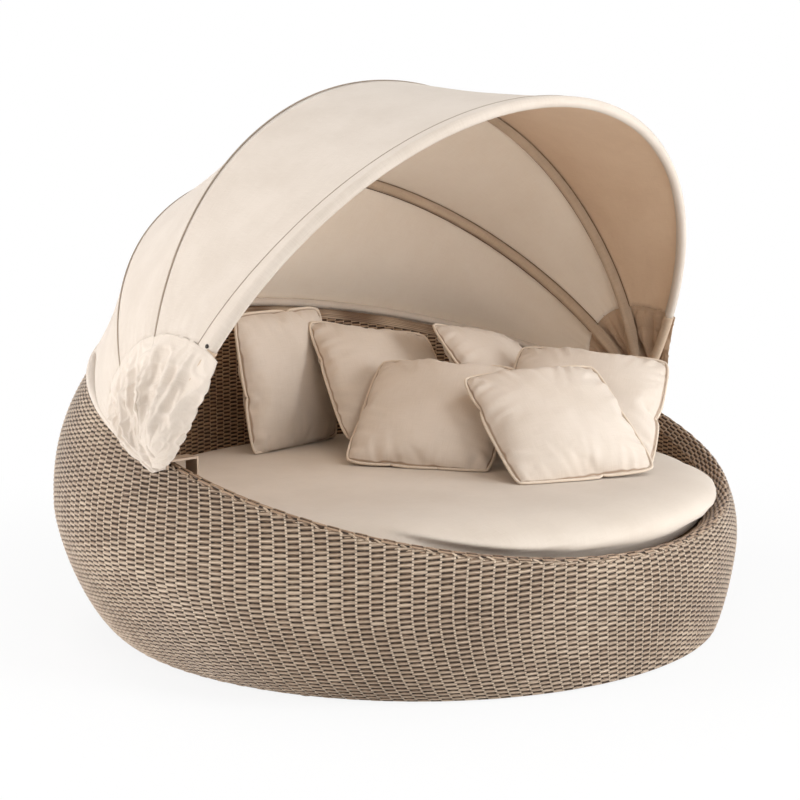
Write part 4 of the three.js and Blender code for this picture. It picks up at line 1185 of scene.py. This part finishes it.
# %% Single strands and the backing behind the weave
tree, (lay, light, dark) = start_group("single strand", {"Lay": "Vector", "Light": "Color", "Dark": "Color"},
                                       {"Colour": "Color", "Height": "Float"})
run, ring, number = lay.split()
own = noise(join(number * 7.3, 0.0), 1.0, 0.0)
long_streak = noise(join(run * 30.0, ring * 9.0, number), 1.0, 3.0)
SINGLE_STRAND = end_group(tree, mix((own * 0.6 + long_streak * 0.4).ramp(0.36, 0.62), dark, light), long_streak)


def strand_material(name):
    material, tree = new_material(name, "braid")
    tint, height = use_group(tree, SINGLE_STRAND, Lay=lay_of(tree), Light=colour(212, 190, 165),
                             Dark=colour(120, 92, 68))
    return finish_material(material, tint, 0.48, height, 0.0006, 0.6)


def coil_material(name):
    material, tree = new_material(name, "braid")
    u, v, _ = lay_of(tree).split()
    row = round(v)
    # Painted shade: the gaps between the wound rows are painted dark brown.
    shaded_gap = abs(v - row).ramp(0.30, 0.5)
    tint, _ = use_group(tree, SINGLE_STRAND, Lay=join(v * 0.02, row * 5.1, u * 0.03), Light=colour(205, 180, 154),
                        Dark=colour(132, 104, 80))
    return finish_material(material, mix(shaded_gap * 0.9, tint, colour(58, 38, 26)), 0.5, 1.0 - shaded_gap, 0.0012, 0.8)


def backing_material(name, slot, light, dark):
    material, tree = new_material(name, slot)
    # Painted shade: the sheet is dark brown, with darker lines between rows, standing in for the shade behind the
    # weave.
    rows = place_of(tree).split()[2].math("PINGPONG", 0.0028)
    light, dark = colour(*light), colour(*dark)
    shade = mix(noise(place_of(tree), 60.0, 3.0).ramp(0.35, 0.65), dark, light)
    return finish_material(material, mix(rows.ramp(0.0018, 0.0004), shade, dark), 0.7, rows, 0.002, 0.8)


STRAND = strand_material("rim strand")
COIL = coil_material("wound strand")
SHADE_BACKING = backing_material("painted shade backing", "wicker", (96, 74, 55), (40, 27, 18))
SHADE_BACKING_IN = backing_material("painted shade backing inside", "wicker_inner", (88, 67, 50), (38, 26, 18))
print("strand finishes ready")

# %% [markdown]
# The cushions and the canopy wear outdoor cloth: a plain weave of fine threads, a little heathered, with a soft
# sheen at low angles. Real threads would be too fine to model, so a group draws them from the place on the cloth
# and gives both a faint colour change and a height; the cloth is a little darker in the troughs between threads,
# as painted shade. The canopy's cloth is the same stuff seen from two sides, pale outside. Its inner faces are
# copies with painted light and shade: lighter inside the middle and rear panels, as light shining through, and
# darker and warmer inside the front panel, in the pockets, the sleeves and the gathered sides. The seams and
# welts are darker copies, as painted shadow. Beside the piping the scatter cushions are painted darker, in a
# groove and towards the seam, as painted shade.

# %% Cloth
THREAD_WAVES = 2900.0  # radians for each metre of cloth, so one wave every 2.2 mm
tree, (place, thread, base, shade) = start_group(
    "cloth threads", {"Place": "Vector", "Thread": "Float", "Colour": "Color", "Shade": "Color"},
    {"Colour": "Color", "Height": "Float"})
x, y, z = place.split()
y = y + z
threads = (x * thread).math("SINE") * (y * thread).math("SINE")
slub = noise(join(x * 900.0, y * 22.0), 1.0) * 0.5 + noise(join(x * 22.0, y * 900.0), 1.0) * 0.5
tint = mix((slub * 0.6 + noise(place, 6.0, 3.0) * 0.4).ramp(0.36, 0.62), shade, base)
# Painted shade: the cloth is a little darker in the troughs between threads.
tint = mix(threads.ramp(-1.0, 1.0, 0.10, 0.0), tint, shade)
CLOTH_THREADS = end_group(tree, tint, threads * 0.5 + slub)


def cloth_material(name, slot, base, shade, sheen=0.1, seam=None):
    material, tree = new_material(name, slot)
    place = lay_of(tree)
    if seam is not None:
        x, y, edge = place.split()
        place = join(x, y)
    tint, height = use_group(tree, CLOTH_THREADS, Place=place, Thread=THREAD_WAVES, Colour=colour(*base),
                             Shade=colour(*shade))
    if seam is not None:
        # Painted shade: the cloth is painted darker in a groove beside the piping and towards the seam.
        groove = edge.ramp(0.0030, 0.0050) * edge.ramp(0.0105, 0.0065)
        tint = mix(groove * 0.80, tint, colour(*seam))
        tint = mix(edge.ramp(0.06, 0.0, 0.0, 0.14), tint, colour(*seam))
    return finish_material(material, tint, 0.86, height, 0.0005, 0.55, Sheen_Weight=sheen, Sheen_Roughness=0.45,
                           Specular_IOR_Level=0.25)


SEAT_CLOTH = cloth_material("seat cloth", "cushion", (226, 213, 199), (216, 202, 187), 0.25)
SCATTER_CLOTH = cloth_material("scatter cloth", "scatter", (232, 219, 206), (222, 208, 193), 0.25, (158, 130, 106))
PIPING = cloth_material("piping cloth", "scatter", (238, 222, 204), (226, 208, 188), 0.25)
CANOPY_OUT = cloth_material("canopy cloth", "canopy_cloth", (220, 207, 194), (209, 195, 181), 0.25)
# Painted light: the inside of the middle and rear panels is a lighter copy of the canopy cloth, for light shining
# through it.
CANOPY_IN_PAINTED_LIGHT = cloth_material("canopy cloth inside painted lighter", "canopy_cloth", (252, 238, 221), (246, 230, 211))
# Painted shade: the inside of the front panel, the pockets, the sleeves and the insides of the gathered sides are
# darker, warmer copies of the canopy cloth.
CANOPY_FRONT_IN_PAINTED_SHADE = cloth_material("front cloth inside painted shade", "canopy_cloth", (228, 200, 172), (218, 188, 159))
POCKET_IN_PAINTED_SHADE = cloth_material("inner pocket cloth painted shade", "canopy_cloth", (206, 182, 158), (190, 166, 142))
GATHER_IN_PAINTED_SHADE = cloth_material("gathered cloth inside painted shade", "canopy_cloth", (204, 176, 150), (188, 160, 134))
# Painted shadow: the inner seams and the welts are darker copies of the canopy cloth, for the shadow along a sewn
# seam.
SEAM_SHADOW = cloth_material("inner seam painted shadow", "canopy_cloth", (128, 98, 74), (110, 84, 62))
WELT_PAINTED_SHADE = cloth_material("welt cloth painted shade", "canopy_cloth", (176, 160, 144), (156, 139, 122))
print("cloth finishes ready")

# %% Metal, plastic and boards
tree, (place, size, base, speck, amount) = start_group(
    "fine specks", {"Place": "Vector", "Size": "Float", "Colour": "Color", "Speck": "Color", "Amount": "Float"},
    {"Colour": "Color", "Height": "Float"})
small = noise(place, size, 3.0)
tint = mix(small.ramp(0.55, 0.72) * amount, base, speck)
FINE_SPECKS = end_group(tree, mix(noise(place, 9.0).ramp(0.4, 0.7, 0.0, 0.25), tint, speck), small)


def speckled_material(name, slot, base, speck, amount, size, rough, metal, depth):
    material, tree = new_material(name, slot)
    tint, height = use_group(tree, FINE_SPECKS, Place=place_of(tree), Size=size, Colour=colour(*base),
                             Speck=colour(*speck), Amount=amount)
    rough_map = height.ramp(0.3, 0.7, rough - 0.06, rough + 0.08)
    return finish_material(material, tint, rough_map, height, depth, 0.5, Metallic=metal)


TUBE = speckled_material("coated tube", "frame_tube", (96, 84, 74), (128, 114, 100), 0.5, 900.0, 0.45, 0.0, 0.0002)
BOW = speckled_material("coated bow", "bow_tube", (196, 190, 182), (226, 222, 216), 0.5, 900.0, 0.38, 0.6, 0.0002)
STEEL = speckled_material("satin steel", "fixings", (198, 198, 198), (226, 226, 226), 0.4, 500.0, 0.32, 1.0, 0.0001)
BRACKET = speckled_material("coated bracket", "fixings", (158, 136, 116), (170, 148, 128), 0.1, 900.0, 0.45, 0.3,
                            0.0002)
RIVET = speckled_material("dark rivet", "fixings", (46, 40, 36), (80, 72, 66), 0.5, 900.0, 0.4, 0.7, 0.0001)
GLIDE = speckled_material("moulded glide", "glide", (40, 37, 34), (66, 62, 58), 0.4, 700.0, 0.55, 0.0, 0.0002)


def board_material(name):
    material, tree = new_material(name, "deck")
    x, y, z = place_of(tree).split()
    grain = noise(join(x * 60.0, y * 4.0, z), 1.0, 4.0)
    rings = noise(join(x * 9.0, y * 0.8, z), 1.0)
    tint = mix((grain * 0.5 + rings * 0.5).ramp(0.35, 0.65), colour(122, 92, 64), colour(168, 134, 98))
    return finish_material(material, tint, 0.62, grain, 0.0006, 0.6)


BOARD = board_material("deck board")
print("materials:", len(bpy.data.materials))


# %% Giving each piece its finish and its body
def dress(pieces, body, *materials):
    for piece in pieces:
        for material in materials:
            piece.data.materials.append(material)
        if body is not None:
            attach(piece, body)
        materials[0]["slot"]


dress(outer_weave, "bowl", WICKER)
dress([inner_weave], "bowl", WICKER_IN_PAINTED_LIGHTER)
dress([rim_weave], "bowl", WICKER_RIM_PAINTED_DARKER)
dress([rim_coil], "bowl", COIL)
dress([rim_strands], "bowl", STRAND)
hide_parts("rim_braid")
dress([seat], "bowl", SEAT_CLOTH)
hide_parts("seat_cushion")
dress(scatter, "bowl", SCATTER_CLOTH)
dress(pipings, "bowl", PIPING)
for number, cushion in enumerate(scatter, 1):
    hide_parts(f"scatter_cushion_{number}")
dress([front_pocket], "front_bow_set", CANOPY_OUT, CANOPY_OUT)
dress([rear_pocket, rear_hem_cloth], "bowl", CANOPY_OUT, CANOPY_OUT)
dress(front_sleeves, "front_bow_set", POCKET_IN_PAINTED_SHADE, POCKET_IN_PAINTED_SHADE)
dress(tails, "bowl", CANOPY_OUT, GATHER_IN_PAINTED_SHADE)
dress(rivets, "front_bow_set", RIVET)
dress(welts[2:], "front_bow_set", WELT_PAINTED_SHADE)
for number, body in enumerate(("second_bow_set", "third_bow_set")):
    dress([middle_pockets[number]], body, POCKET_IN_PAINTED_SHADE, POCKET_IN_PAINTED_SHADE)
    dress(inner_seams[2 * number:2 * number + 2], body, SEAM_SHADOW)
    dress([welts[number]], body, WELT_PAINTED_SHADE)
print("pieces dressed")

# %% [markdown]
# The panels and the gathered sides cross from one bow to the next, and the bows turn on one another. Here each
# piece only has its place baked into its points, and it is attached to no bow's body.

# %% Cloth that crosses two bows
BLEND_REACH, BLEND_BAND = 0.94, 0.25


def blend_between(piece, sector):
    front, rear = BOW_ANGLE[sector], BOW_ANGLE[sector + 1]
    reach = BLEND_BAND * math.sin((rear - front) / 2) * BLEND_REACH
    centre = PIVOT + radial((front + rear) / 2) * BLEND_REACH
    way = backward((front + rear) / 2) * reach
    BOW_BODIES[sector + 1]
    BOW_BODIES[sector]
    tuple(centre + way)
    tuple(centre - way)
    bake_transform(piece)


for sector, (panel, node) in enumerate(zip(panels, PANEL_NAMES)):
    dress([panel], None, CANOPY_OUT, CANOPY_FRONT_IN_PAINTED_SHADE if sector == 0 else CANOPY_IN_PAINTED_LIGHT)
    blend_between(panel, sector)
    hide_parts(node)
for piece, sector, node in gathered:
    dress([piece], None, CANOPY_OUT, GATHER_IN_PAINTED_SHADE)
    blend_between(piece, sector)
    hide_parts(node)
print("blended:", len(panels) + len(gathered))

# %% The frame's own parts
CAD_FINISHES = {"wicker_shell": SHADE_BACKING, "wicker_lining": SHADE_BACKING_IN, "base_ring": TUBE, "seat_ring": TUBE,
                "rim_ring": TUBE, "seat_deck": BOARD}
FINISHES_BY_START = {"rib_": TUBE, "deck_bar_": TUBE, "glide_": GLIDE, "pivot_bracket": BRACKET,
                     "pivot_washer": STEEL, "pivot_nut": STEEL}
for node in nodes:
    material = CAD_FINISHES.get(node, BOW if node.endswith("_bow") else None)
    for start, own in FINISHES_BY_START.items():
        if node.startswith(start):
            material = own
    if material is not None:
        part = bpy.data.objects[node]
        part.data.materials.clear()
        part.data.materials.append(material)
print("finishes given")

# %% [markdown]
# ## Camera, light and floor
#
# The camera stands at the front left, a little above the rim, as the photographer's did. Two large soft lamps
# stand like windows at the left and at the right, a weak one at the front left softens the shadows, and two high
# ones light the seat from the front and the canopy's top from behind. The floor and the surroundings are white to
# the camera, and the floor still takes the shadow.

# %% The camera
def aim(holder, place, target):
    bpy.context.collection.objects.link(holder)
    holder.location = place
    holder.rotation_euler = (Vector(target) - Vector(place)).to_track_quat("-Z", "Y").to_euler()


camera = bpy.data.objects.new("camera", bpy.data.cameras.new("camera"))
aim(camera, (-2.7315, -2.6712, 1.0501), (-0.052, -0.032, 0.59))
camera.data.lens, camera.data.sensor_width = 60.7, 36
bpy.context.scene.camera = camera


# %% The lamps
def lamp(name, place, target, size, power, tint=(1.0, 1.0, 1.0)):
    light = bpy.data.lights.new(name, "AREA")
    light.shape, light.size, light.energy, light.color = "DISK", size, power, tint
    aim(bpy.data.objects.new(name, light), place, target)


lamp("left window", (-4.3, 1.6, 1.0), (0, 0, 0.5), 2.4, 126.0, (0.98, 0.985, 0.99))
lamp("front fill", (-2.4, -4.2, 3.2), (0, 0, 0.5), 2.2, 30.0, (0.98, 0.985, 0.985))
lamp("high front", (0.3, -3.2, 4.0), (0, -0.2, 0.4), 1.8, 50.0, (0.98, 1.0, 1.0))
lamp("right window", (2.0, -4.5, 1.25), (0, 0, 0.8), 2.6, 128.0, (0.975, 1.0, 1.02))
lamp("high back", (-1.2, 1.4, 4.4), (0, 0, 1.0), 2.0, 34.0)
print("lamps:", len(bpy.data.lights))


# %% The floor and the white surroundings
def seen_directly(tree):
    """1 for what is seen straight, in a reflection or through something clear, and 0 for light that only bounces."""
    outputs = tree.nodes.new("ShaderNodeLightPath").outputs
    camera, glossy, clear = (Value(tree, outputs[f"Is {word} Ray"]) for word in ("Camera", "Glossy", "Transmission"))
    return camera.math("MAXIMUM", glossy.math("MAXIMUM", clear))


FLOOR_EDGE = 40.0
corners = [(-1, -1), (1, -1), (1, 1), (-1, 1)]
floor = to_piece("floor", [(x * FLOOR_EDGE, y * FLOOR_EDGE, 0) for x, y in corners], [[0, 1, 2, 3]])
floor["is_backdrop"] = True
floor_material = bpy.data.materials.new("floor white")
floor_material.use_nodes = True
tree = floor_material.node_tree
shader = tree.nodes["Principled BSDF"]
shader.inputs["Base Color"].default_value = (0.92, 0.92, 0.92, 1)
shader.inputs["Roughness"].default_value = 0.9
x, y, _ = place_of(tree).split()
pale = (x * x + y * y).math("SQRT").ramp(1.0, 2.6, 0.86, 1.0)
white = add(tree, "ShaderNodeEmission", (1, 1, 1, 1), 1.0)
both = add(tree, "ShaderNodeMixShader", seen_directly(tree) * pale, Value(tree, shader.outputs[0]), white)
put(both, tree.nodes["Material Output"].inputs[0])
floor.data.materials.append(floor_material)

world = bpy.data.worlds.new("surroundings")
bpy.context.scene.world = world
world.use_nodes = True
tree = world.node_tree
put(mix(seen_directly(tree), (0.49, 0.485, 0.48, 1), (1, 1, 1, 1)), tree.nodes["Background"].inputs[0])
bpy.context.scene.view_settings.view_transform = "Standard"
print("floor and surroundings ready")

# %% The sizes at the end
boxes = {"cad": cad_box, "visual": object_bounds()}
{label: [list(map(float, corner)) for corner in box] for label, box in boxes.items()}
print("box of the frame and of the pieces:", [[round(x, 3) for x in c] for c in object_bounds()])
